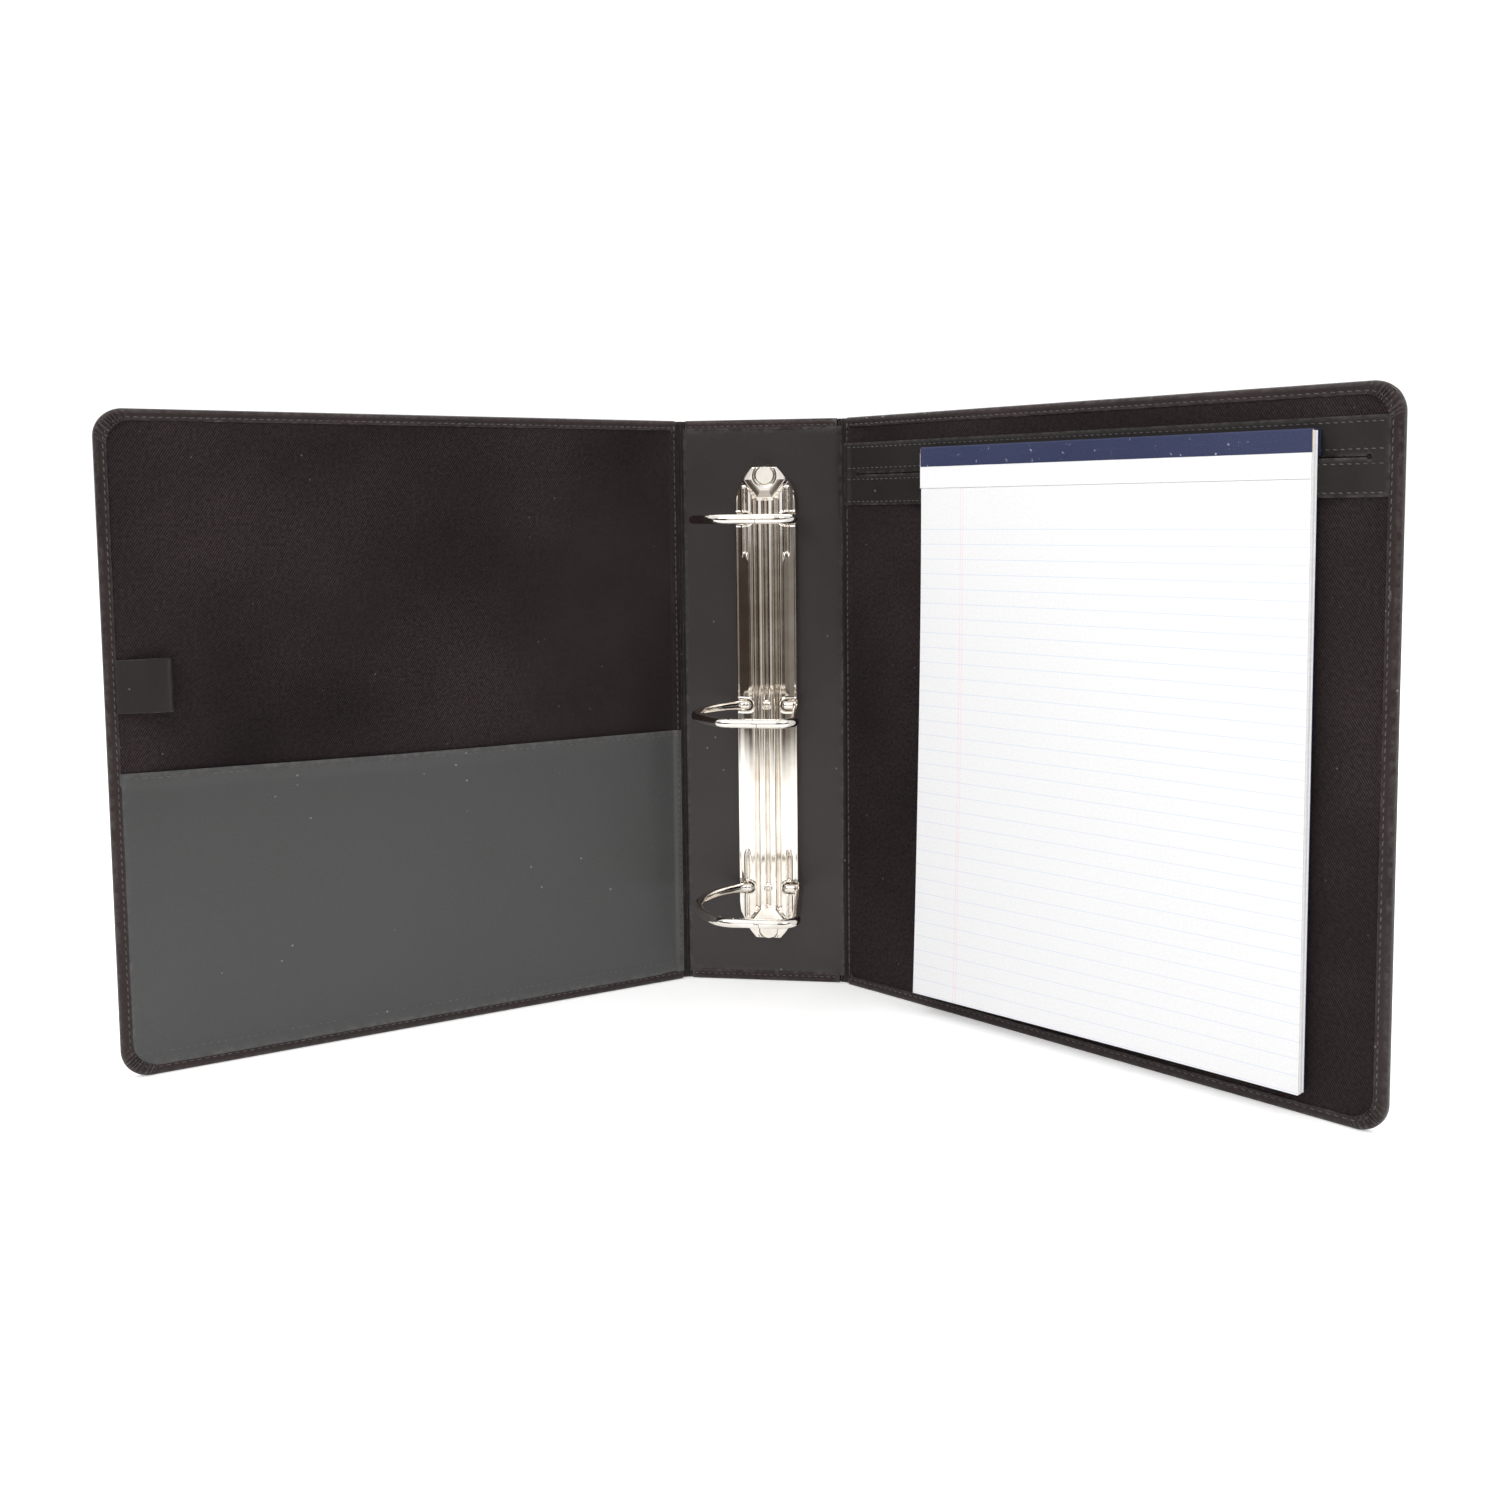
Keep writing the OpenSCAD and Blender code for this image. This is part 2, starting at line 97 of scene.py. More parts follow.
@dataclass
class Shape:
    """Points, quads and flat pattern coordinates of one surface, all as whole arrays."""

    points: Array
    faces: Array
    pattern: Array

    @staticmethod
    def grid(points: Array, pattern: Array | None = None, loop_cols: bool = False) -> "Shape":
        """Joins a (rows, columns) net of points with one quad per cell.

        Args:
            points: (R, C, 3) places.
            pattern: (R, C, 2) flat coordinates in mm, or None for x and z.
            loop_cols: Whether the last column joins the first.
        Returns:
            The surface.
        """
        rows, cols = points.shape[:2]
        index = np.arange(rows * cols).reshape(rows, cols)
        index = np.concatenate([index, index[:, :1]], 1) if loop_cols else index
        faces = np.stack([index[:-1, :-1], index[:-1, 1:], index[1:, 1:], index[1:, :-1]], -1).reshape(
            -1, 4
        )
        pattern = points[..., [0, 2]] if pattern is None else pattern
        return Shape(points.reshape(-1, 3), faces, pattern.reshape(-1, 2))

    def with_(self, *others: "Shape") -> "Shape":
        """This surface and others as one, with the others' face numbers moved up."""
        shapes = [self, *others]
        starts = np.cumsum([0] + [len(s.points) for s in shapes[:-1]])
        return Shape(
            np.concatenate([s.points for s in shapes]),
            np.concatenate([s.faces + n for s, n in zip(shapes, starts)]),
            np.concatenate([s.pattern for s in shapes]),
        )


def net(*parts: Array | float) -> Array:
    """Coordinates joined along a new last axis, each spread to the shape that they share."""
    return np.stack(np.broadcast_arrays(*parts), -1)


def smooth(t: Array) -> Array:
    """Smooth step: 0 below 0, 1 above 1, three t squared less two t cubed between."""
    t = np.clip(t, 0, 1)
    return t * t * (3 - 2 * t)


def arc(cx: float, cy: float, r: float, a0: float, a1: float, n: int) -> Array:
    """Points on a circle about (cx, cy) from angle a0 to a1 in degrees, (n, 2)."""
    a = np.radians(np.linspace(a0, a1, n))
    return net(cx + r * np.cos(a), cy + r * np.sin(a))


def hinge_rise(x: Array) -> Array:
    """How far the linings stand out where they run over the turned leather by the hinge."""
    return 1.25 * smooth((9.1 - x) / 2.0)


def lengths(path: Array) -> Array:
    """How far along a path each of its points is, (N,)."""
    return np.concatenate([[0], np.cumsum(np.linalg.norm(np.diff(path, axis=0), axis=1))])


def carried(x: Array, section: Array) -> Array:
    """A section of y and z carried along x, (len(x), len(section), 3)."""
    return net(x[:, None], section[:, 0], section[:, 1])


def bump(t: Array, power: int = 2) -> Array:
    """A rounded bump: 1 where t is 0, and almost nothing past 2 on either side."""
    return np.exp(-(t**power))


def along(path: Array, step: float) -> tuple[Array, Array]:
    """Places at even steps along a path, and the path's direction there.

    Args:
        path: (N, 3) points in order.
        step: Distance between places, adjusted so that they fill the path.
    Returns:
        Places and unit directions, both (K, 3).
    """
    length = lengths(path)
    count = max(1, round(length[-1] / step))
    at = (np.arange(count) + 0.5) * length[-1] / count

    def sample(s: Array) -> Array:
        """Place at each arc length, by straight lines between the path's points."""
        return np.stack([np.interp(s, length, path[:, k]) for k in range(3)], -1)

    ahead = sample(at + 0.2) - sample(at - 0.2)
    return sample(at), ahead / np.linalg.norm(ahead, axis=1, keepdims=True)


def stitches(path: Array, normal: tuple[float, float, float], pitch: float = 3.7, long: float = 2.4,
             thick: float = 0.55) -> Shape:
    """A row of sewn threads: each is a spindle that arches out of the leather and dives in at both ends.

    A spindle is a circle whose radius follows the fourth root of one less t squared, and whose centre
    drops with t squared, for t from -1 to 1 along the path.

    Args:
        path: (N, 3) line that the seam follows, in mm.
        normal: Direction out of the leather.
        pitch: Distance from one stitch to the next.
        long: Length of each stitch.
        thick: Width of the thread.
    Returns:
        All the threads as one surface.
    """
    places, ahead = along(path, pitch)
    out = np.array(normal, float)
    across = np.cross(ahead, out)
    t = np.array([-1, -0.8, -0.3, 0.3, 0.8, 1.0])
    a = np.linspace(0, 2 * np.pi, 6, endpoint=False)
    radius = thick / 2 * np.clip(1 - t**2, 0, 1) ** 0.25
    forward = np.repeat((t * long / 2)[:, None], 6, 1)
    sideways = radius[:, None] * np.cos(a) + 0.12 * t[:, None]
    up = radius[:, None] * np.sin(a) * 0.8 + 0.08 - 0.3 * t[:, None] ** 2
    body = (places[:, None, None] + forward[..., None] * ahead[:, None, None]
            + sideways[..., None] * across[:, None, None] + up[..., None] * out)
    count = len(places)
    one = Shape.grid(body[0], loop_cols=True).faces
    faces = (one[None] + 36 * np.arange(count)[:, None, None]).reshape(-1, 4)
    return Shape(body.reshape(-1, 3), faces, body.reshape(-1, 3)[:, [0, 2]])


def placed(name: str, data: bpy.types.ID) -> bpy.types.Object:
    """A new object in the scene around a mesh, a light or a camera."""
    made = bpy.data.objects.new(name, data)
    bpy.context.scene.collection.objects.link(made)
    return made


def piece(name: str, shape: Shape, place: Place, finish: "Finish", body: str, thickness: float = 0.0,
          sharp: float = 50.0, replaces: tuple[str, ...] = (), rounding: float = 0.0) -> bpy.types.Object:
    """Makes a finished mesh object from a surface, in the row frame.

    Args:
        name: The piece's name.
        shape: Its surface, in the panel's frame, in mm.
        place: Where the panel stands.
        finish: What it is made of.
        body: The body it rides on, or an empty name for a piece that rides on none.
        thickness: Thickness to give to an open surface, on the side away from its faces.
        sharp: Angle in degrees past which an edge stays crisp.
        replaces: CAD nodes that it stands for.
        rounding: Radius of a bevel on its crisp edges.
    Returns:
        The object.
    """
    mesh = bpy.data.meshes.new(name)
    mesh.from_pydata(place.world(shape.points), [], shape.faces.tolist())
    layer = mesh.uv_layers.new(name="flat")
    corner = np.empty(len(mesh.loops), np.int32)
    mesh.loops.foreach_get("vertex_index", corner)
    layer.data.foreach_set("uv", (shape.pattern[corner] * MM).ravel().astype(np.float32))
    work = bmesh.new()
    work.from_mesh(mesh)
    bmesh.ops.remove_doubles(work, verts=work.verts, dist=2e-6)
    bmesh.ops.dissolve_degenerate(work, edges=work.edges, dist=1e-7)
    if place.mirrored and thickness:
        bmesh.ops.reverse_faces(work, faces=work.faces)
    if not thickness:
        bmesh.ops.recalc_face_normals(work, faces=work.faces)
    work.to_mesh(mesh)
    work.free()
    made = placed(name, mesh)
    if thickness:
        wall = made.modifiers.new("wall", "SOLIDIFY")
        wall.thickness, wall.offset, wall.use_even_offset = thickness * MM, -1.0, False
    if rounding:
        edge = made.modifiers.new("edge", "BEVEL")
        edge.width, edge.segments, edge.limit_method, edge.angle_limit = (
            rounding * MM, 2, "ANGLE", math.radians(sharp)
        )
    if made.modifiers:
        bpy.context.view_layer.update()
        final = bpy.data.meshes.new_from_object(made.evaluated_get(bpy.context.evaluated_depsgraph_get()))
        made.modifiers.clear()
        made.data = final
        final.name = name
    made.data.shade_smooth()
    made.data.set_sharp_from_angle(angle=math.radians(sharp))
    made.data.materials.clear()
    made.data.materials.append(finish.material())
    if body:
        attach(made, body)
    if replaces:
        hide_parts(*replaces)
    LOG.info("%s: %d faces on %s", name, len(made.data.polygons), body or "two bodies")
    return made


# ---- Finishes ----


class Board:
    """A node tree that is being laid out: adds nodes, sets their values and links their sockets."""

    def __init__(self, tree: bpy.types.NodeTree, clear: bool = True) -> None:
        """Starts on a tree, emptied unless it is only to be added to."""
        self.tree = tree
        if clear:
            self.tree.nodes.clear()

    def feed(self, socket: Socket, value: object) -> None:
        """Links a socket to another, or gives it a plain value."""
        if isinstance(value, Socket):
            self.tree.links.new(value, socket)
        else:
            socket.default_value = value

    def add(self, kind: str, settings: dict | None = None, **inputs: object) -> Node:
        """Adds a node.

        Args:
            kind: The node's type name without "ShaderNode".
            settings: Properties of the node itself.
            inputs: Socket values or sockets by name, with underscores for spaces, or i0, i1 by number.
        Returns:
            The node.
        """
        made = self.tree.nodes.new(kind if kind.startswith("NodeGroup") else "ShaderNode" + kind)
        for key, value in (settings or {}).items():
            setattr(made, key, value)
        for key, value in inputs.items():
            numbered = key[0] == "i" and key[1:].isdigit()
            self.feed(made.inputs[int(key[1:]) if numbered else key.replace("_", " ")], value)
        return made

    def math(self, operation: str, *values: object, clamp: bool = False) -> Socket:
        """The result of one Math node on numbers or sockets."""
        return self.add("Math", {"operation": operation, "use_clamp": clamp},
                        **{f"i{n}": v for n, v in enumerate(values)}).outputs[0]

    def times(self, one: object, other: object, clamp: bool = False) -> Socket:
        """The product of two numbers or sockets."""
        return self.math("MULTIPLY", one, other, clamp=clamp)

    def mix(self, factor: object, low: object, high: object) -> Socket:
        """A colour between two, by a factor."""
        made = self.tree.nodes.new("ShaderNodeMix")
        made.data_type = "RGBA"
        for socket, value in ((0, factor), (6, low), (7, high)):
            self.feed(made.inputs[socket], value)
        return made.outputs[2]

    def span(
        self, value: object, low: float, high: float, to_low: float = 0.0, to_high: float = 1.0
    ) -> Socket:
        """A value moved from one range to another and held inside it."""
        made = self.add("MapRange", Value=value, From_Min=low, From_Max=high, To_Min=to_low, To_Max=to_high)
        return made.outputs[0]

    def group(self, effect: "Effect", **inputs: object) -> Node:
        """Places a shared effect with its own values."""
        made = self.tree.nodes.new("ShaderNodeGroup")
        made.node_tree = effect.tree()
        for key, value in inputs.items():
            self.feed(made.inputs[key], value)
        return made


class Effect(Enum):
    """Surface effects that several finishes share, each one a node group built once."""

    GRAIN = "grain"
    TWILL = "twill"
    WEAR = "edge wear"
    DUST = "dust"

    def tree(self) -> bpy.types.NodeTree:
        """The effect's node group, made the first time that it is asked for."""
        found = bpy.data.node_groups.get(self.value)
        if found:
            return found
        made = bpy.data.node_groups.new(self.value, "ShaderNodeTree")
        board = Board(made)
        for name, way, kind in (
            ("Vector", "INPUT", "Vector"), ("Scale", "INPUT", "Float"), ("Amount", "INPUT", "Float"),
            ("Height", "OUTPUT", "Float"), ("Mask", "OUTPUT", "Float")
        ):
            made.interface.new_socket(name, in_out=way, socket_type=f"NodeSocket{kind}")
        into, out = made.nodes.new("NodeGroupInput"), made.nodes.new("NodeGroupOutput")
        lay = {
            Effect.GRAIN: self._grain, Effect.TWILL: self._twill, Effect.WEAR: self._wear,
            Effect.DUST: self._dust
        }
        height, mask = lay[self](board, *(into.outputs[name] for name in ("Vector", "Scale", "Amount")))
        made.links.new(height, out.inputs["Height"])
        made.links.new(mask, out.inputs["Mask"])
        return made

    @staticmethod
    def _grain(board: Board, vector: Socket, scale: Socket, amount: Socket) -> tuple[Socket, Socket]:
        """Leather grain: rounded cells with creases between them, over a slow swell; Leather darkens the
        creases as painted shade.
        """
        bent = board.add("TexNoise", Vector=vector, Scale=board.times(scale, 0.5), Detail=2.0)
        moved = board.add(
            "VectorMath", {"operation": "MULTIPLY_ADD"}, i0=bent.outputs["Color"],
            i1=(0.0006, 0.0006, 0.0006), i2=vector
        )
        cells = board.add(
            "TexVoronoi", {"feature": "SMOOTH_F1"}, Vector=moved.outputs[0], Scale=scale, Smoothness=0.35
        )
        swell = board.add("TexNoise", Vector=vector, Scale=board.times(scale, 0.08), Detail=3.0)
        creases = board.span(cells.outputs["Distance"], 0.25, 0.85, 1.0, 0.0)
        height = board.math("ADD", board.times(creases, amount), board.times(swell.outputs[0], 0.6))
        return height, creases

    @staticmethod
    def _twill(board: Board, vector: Socket, scale: Socket, amount: Socket) -> tuple[Socket, Socket]:
        """Twill: ribs on the slant from a sine of u plus v, cut across by the threads' own finer sine."""
        parts = board.add("SeparateXYZ", Vector=vector)
        u = board.times(parts.outputs[0], scale)
        v = board.times(parts.outputs[1], scale)
        slant = board.math("SINE", board.times(board.math("ADD", u, board.times(v, 0.62)), 2 * math.pi))
        threads = board.math("SINE", board.times(v, 4.4 * math.pi))
        fuzz = board.add(
            "TexNoise", Vector=vector, Scale=board.times(scale, 0.7), Detail=4.0, Roughness=0.7
        )
        ribs = board.math("MULTIPLY_ADD", slant, 0.4, 0.5)
        height = board.math(
            "ADD", board.math("MULTIPLY_ADD", threads, 0.12, ribs), board.times(fuzz.outputs[0], amount)
        )
        return height, board.times(height, board.span(fuzz.outputs[0], 0.35, 0.7, 0.5, 1.2))

    @staticmethod
    def _wear(board: Board, vector: Socket, scale: Socket, amount: Socket) -> tuple[Socket, Socket]:
        """Rubbed edges and painted highlight: patches on the edges that stick out, broken up by noise."""
        shape = board.add("NewGeometry")
        rough = board.add("TexNoise", Vector=vector, Scale=scale, Detail=5.0, Roughness=0.65)
        edge = board.span(shape.outputs["Pointiness"], 0.505, 0.56)
        patch = board.span(rough.outputs[0], 0.42, 0.68)
        mask = board.times(board.times(edge, patch), amount, clamp=True)
        return rough.outputs[0], mask

    @staticmethod
    def _dust(board: Board, vector: Socket, scale: Socket, amount: Socket) -> tuple[Socket, Socket]:
        """Dust and lint: small round specks, kept only in a few random cells."""
        cells = board.add("TexVoronoi", Vector=vector, Scale=scale, Randomness=1.0)
        kept = board.math(
            "GREATER_THAN", board.add("SeparateColor", Color=cells.outputs["Color"]).outputs[0], 0.965
        )
        spot = board.span(cells.outputs["Distance"], 0.05, 0.16, 1.0, 0.0)
        mask = board.times(board.times(spot, kept), amount, clamp=True)
        return spot, mask


Colour = tuple[float, float, float, float]


@dataclass(frozen=True)
class Finish:
    """What a surface is made of: the record's slot, and the colours that every finish varies between."""

    name: str
    slot: str
    dark: Colour
    light: Colour
    roughness: float = 0.5
    specular: float = 0.5
    sheen: float = 0.0
    gloss: Colour = (1.0, 0.94, 0.93, 1)

    def material(self) -> bpy.types.Material:
        """The finish's material, made the first time that it is asked for."""
        found = bpy.data.materials.get(f"{self.name}_finish")
        if found:
            return found
        made = bpy.data.materials.new(f"{self.name}_finish")
        made.use_nodes = True
        board = Board(made.node_tree)
        shader = board.add("BsdfPrincipled")
        shader.inputs["Roughness"].default_value = self.roughness
        shader.inputs["Specular IOR Level"].default_value = self.specular
        shader.inputs["Sheen Weight"].default_value = self.sheen
        shader.inputs["Specular Tint"].default_value = self.gloss
        out = board.add("OutputMaterial")
        made.node_tree.links.new(shader.outputs[0], out.inputs[0])
        self.lay(board, shader, board.add("TexCoord"))
        return made

    def lay(self, board: Board, shader: Node, where: Node) -> None:
        """Adds this finish's own colour, roughness and relief; the plain kind only mottles its colour."""
        spots = board.add("TexNoise", Vector=where.outputs["Object"], Scale=90.0, Detail=6.0, Roughness=0.6)
        self.join(board, shader, Base_Color=board.mix(spots.outputs[0], self.dark, self.light))
        self.relief(board, shader, spots.outputs[0], 0.15, 0.0003)

    @staticmethod
    def join(board: Board, shader: Node, **sockets: Socket) -> None:
        """Links varying values to the shader's sockets by name."""
        for key, value in sockets.items():
            board.tree.links.new(value, shader.inputs[key.replace("_", " ")])

    @staticmethod
    def relief(board: Board, shader: Node, height: Socket, strength: float, depth: float) -> None:
        """Bumps the surface by a height that varies from 0 to 1 over the given depth in metres."""
        bump = board.add("Bump", Strength=strength, Distance=depth, Height=height)
        board.tree.links.new(bump.outputs[0], shader.inputs["Normal"])


@dataclass(frozen=True)
class Leather(Finish):
    """Black grained leather: creases darkened as painted shade, a few bright specks, and rubbed edges
    lightened by rubbing and painted highlight.
    """

    grain: float = 900.0
    depth: float = 0.00022
    rub_and_highlight: float = 0.5

    def lay(self, board: Board, shader: Node, where: Node) -> None:
        """Grain on Object coordinates; the creases are darker (painted shade) and rougher, the rubbed edges
        lighter (rubbing plus painted highlight).
        """
        at = where.outputs["Object"]
        grain = board.group(Effect.GRAIN, Vector=at, Scale=self.grain, Amount=0.5)
        wear_and_highlight = board.group(Effect.WEAR, Vector=at, Scale=260.0, Amount=self.rub_and_highlight)
        dust = board.group(Effect.DUST, Vector=at, Scale=210.0, Amount=0.4)
        cloud = board.add("TexNoise", Vector=at, Scale=14.0, Detail=5.0, Roughness=0.55)
        base = board.mix(board.span(cloud.outputs[0], 0.3, 0.7), self.dark, self.light)
        # painted shade: the grain's creases are mixed towards near black
        base = board.mix(board.times(grain.outputs["Mask"], 0.25), base, (0.002, 0.002, 0.002, 1))
        # real rubbing and painted highlight: edges that stick out are mixed towards light grey
        base = board.mix(wear_and_highlight.outputs["Mask"], base, (0.16, 0.15, 0.145, 1))
        base = board.mix(dust.outputs["Mask"], base, (0.45, 0.44, 0.42, 1))
        rough = board.math(
            "ADD", board.times(grain.outputs["Mask"], 0.12),
            board.span(cloud.outputs[0], 0.3, 0.75, self.roughness - 0.06, self.roughness + 0.1)
        )
        self.join(board, shader, Base_Color=base, Roughness=rough)
        self.relief(board, shader, grain.outputs["Height"], 0.5, self.depth)


@dataclass(frozen=True)
class Cloth(Finish):
    """Woven cloth: twill for the linings, book cloth for the pad's binding."""

    pitch: float = 1050.0
    depth: float = 0.0002
    lint: float = 0.3
    chips: float = 0.0
    worn: Colour = (0.4, 0.38, 0.37, 1)

    def lay(self, board: Board, shader: Node, where: Node) -> None:
        """Twill ribs on the flat pattern, coloured lighter on the rib tops as painted highlight over the
        weave's pattern, and worn specks and lint lie on top.
        """
        ribs = board.group(Effect.TWILL, Vector=where.outputs["UV"], Scale=self.pitch, Amount=0.3)
        dust = board.group(Effect.DUST, Vector=where.outputs["UV"], Scale=260.0, Amount=self.lint)
        cloud = board.add("TexNoise", Vector=where.outputs["UV"], Scale=9.0, Detail=4.0)
        # painted light and shade over the twill pattern: rib tops lighter, valleys darker
        base = board.mix(ribs.outputs["Mask"], self.dark, self.light)
        base = board.mix(board.span(cloud.outputs[0], 0.35, 0.7, 0.0, 0.6), base, self.dark)
        if self.chips:
            rubbed = board.add(
                "TexNoise", Vector=where.outputs["UV"], Scale=260.0, Detail=6.0, Roughness=0.7
            )
            base = board.mix(board.span(rubbed.outputs[0], 0.635, 0.685, 0.0, self.chips), base, self.worn)
        base = board.mix(dust.outputs["Mask"], base, self.worn)
        self.join(board, shader, Base_Color=base)
        self.relief(board, shader, ribs.outputs["Height"], 0.6, self.depth)


@dataclass(frozen=True)
class Metal(Finish):
    """Bright nickel plate: nearly a mirror, with fine scratches and soft smears."""

    def lay(self, board: Board, shader: Node, where: Node) -> None:
        """Metal whose roughness follows smears, and whose relief is long scratches along the height."""
        shader.inputs["Metallic"].default_value = 1.0
        at = where.outputs["Object"]
        long = board.add("Mapping", Vector=at, Scale=(1.0, 1.0, 0.06))
        scratch = board.add("TexNoise", Vector=long.outputs[0], Scale=1500.0, Detail=3.0, Roughness=0.7)
        smear = board.add("TexNoise", Vector=at, Scale=60.0, Detail=4.0)
        pits = board.group(Effect.DUST, Vector=at, Scale=420.0, Amount=0.5)
        base = board.mix(board.span(smear.outputs[0], 0.35, 0.7), self.dark, self.light)
        base = board.mix(pits.outputs["Mask"], base, (0.25, 0.23, 0.2, 1))
        self.join(
            board, shader, Base_Color=base,
            Roughness=board.span(smear.outputs[0], 0.3, 0.75, self.roughness * 0.7, self.roughness * 1.6)
        )
        self.relief(board, shader, scratch.outputs[0], 0.05, 0.0001)


@dataclass(frozen=True)
class Paper(Finish):
    """Paper: faint fibres, and ruled lines on the pattern where a pitch is given."""

    pitch: float = 0.0
    first: float = 0.0
    margin: float = 0.0

    def lay(self, board: Board, shader: Node, where: Node) -> None:
        """Fibres on the pattern; pale blue lines at even steps below the first, and a double red margin."""
        at = where.outputs["UV"]
        fibre = board.add("TexNoise", Vector=at, Scale=700.0, Detail=5.0, Roughness=0.7)
        base = board.mix(board.span(fibre.outputs[0], 0.3, 0.7), self.dark, self.light)
        if self.pitch:
            parts = board.add("SeparateXYZ", Vector=at)
            down = board.math("SUBTRACT", self.first, parts.outputs[1])
            turn = board.math("FRACT", board.math("DIVIDE", down, self.pitch))
            near = board.math("LESS_THAN", turn, 0.055)
            below = board.math("GREATER_THAN", down, -0.0001)
            base = board.mix(board.times(board.times(near, below), 0.34), base, (0.40, 0.52, 0.72, 1))
            for line in (self.margin, self.margin + 0.0015):
                off = board.math("ABSOLUTE", board.math("SUBTRACT", parts.outputs[0], line))
                base = board.mix(
                    board.times(board.math("LESS_THAN", off, 0.0002), 0.4), base, (0.85, 0.45, 0.5, 1)
                )
        self.join(board, shader, Base_Color=base)
        self.relief(board, shader, fibre.outputs[0], 0.1, 0.0001)


CASE_LEATHER = Leather(
    "case_leather", "leather_black", (0.0125, 0.0070, 0.0072, 1), (0.026, 0.0160, 0.0162, 1), 0.44, 0.36,
    gloss=(1, 0.90, 0.88, 1)
)
SMOOTH_LEATHER = Leather(
    "smooth_leather", "leather_black", (0.0085, 0.0068, 0.0066, 1), (0.0155, 0.0125, 0.012, 1), 0.42,
    0.42, grain=1500.0, depth=0.00008, rub_and_highlight=0.25
)
# A lighter copy of the smooth leather: its raised colour is painted sheen, beside its real full specular.
SHEEN_POCKET_LEATHER = Leather(
    "pocket_leather", "leather_black", (0.012, 0.0115, 0.0115, 1), (0.02, 0.0195, 0.019, 1), 0.42, 1.0,
    gloss=(1, 1, 1, 1), grain=1500.0, depth=0.00008, rub_and_highlight=0.25
)
LINER_LEATHER = Leather(
    "liner_leather", "leather_black", (0.004, 0.0032, 0.0031, 1), (0.008, 0.0064, 0.0062, 1), 0.34, 0.72,
    gloss=(1, 0.92, 0.91, 1), grain=1300.0, depth=0.00012, rub_and_highlight=0.25
)
# A darker copy of the case leather: painted shade for the recessed hinge fold.
SHADED_HINGE_LEATHER = Leather(
    "hinge_leather", "leather_black", (0.008, 0.0058, 0.0058, 1), (0.015, 0.011, 0.011, 1), 0.5, 0.34
)
LINING = Cloth(
    "lining_twill", "lining_twill", (0.0045, 0.0033, 0.0036, 1), (0.048, 0.036, 0.038, 1), 0.95, 0.06,
    pitch=820.0, lint=0.2
)
BOOK_CLOTH = Cloth(
    "binding_cloth", "binding_cloth", (0.012, 0.018, 0.060, 1), (0.048, 0.060, 0.130, 1), 0.6, 0.3,
    pitch=1700.0, depth=0.00008, lint=0.9, chips=0.7, worn=(0.6, 0.62, 0.66, 1)
)
NICKEL = Metal("nickel_plate", "nickel_plate", (0.74, 0.69, 0.62, 1), (0.90, 0.87, 0.82, 1), 0.065)
NICKEL_WIRE = Metal("nickel_wire", "nickel_wire", (0.70, 0.66, 0.60, 1), (0.86, 0.83, 0.78, 1), 0.08)
DARK_STEEL = Metal("dark_steel", "nickel_plate", (0.05, 0.047, 0.045, 1), (0.12, 0.11, 0.10, 1), 0.35)
# The black thread's light colour runs up to mid grey: painted highlight for the thread's glints.
THREAD = Finish(
    "black_thread", "leather_black", (0.006, 0.005, 0.005, 1), (0.13, 0.12, 0.115, 1), 0.4, 0.6, 0.1
)
BOARD = Finish("core_board", "core_board", (0.2, 0.17, 0.13, 1), (0.32, 0.28, 0.22, 1), 0.9)
FOAM = Finish("padding_foam", "padding_foam", (0.05, 0.05, 0.052, 1), (0.09, 0.09, 0.095, 1), 0.95)
BACKING = Finish(
    "backing_card", "backing_card", (0.0035, 0.005, 0.04, 1), (0.009, 0.012, 0.07, 1), 0.6, 0.25
)
KRAFT = Finish("kraft_paper", "backing_card", (0.36, 0.24, 0.14, 1), (0.5, 0.36, 0.23, 1), 0.8, 0.2)
PAGES = Paper("pad_pages", "pad_paper", (0.80, 0.80, 0.81, 1), (0.90, 0.90, 0.91, 1), 0.8, 0.2)
RULED = Paper("pad_ruled", "pad_paper", (0.75, 0.75, 0.76, 1), (0.81, 0.81, 0.816, 1), 0.75, 0.2,
              pitch=0.00794, first=0.2676, margin=0.0927)
STUB = Paper("pad_stub", "pad_paper", (0.78, 0.78, 0.79, 1), (0.83, 0.83, 0.836, 1), 0.75, 0.2)


# ---- Covers ----


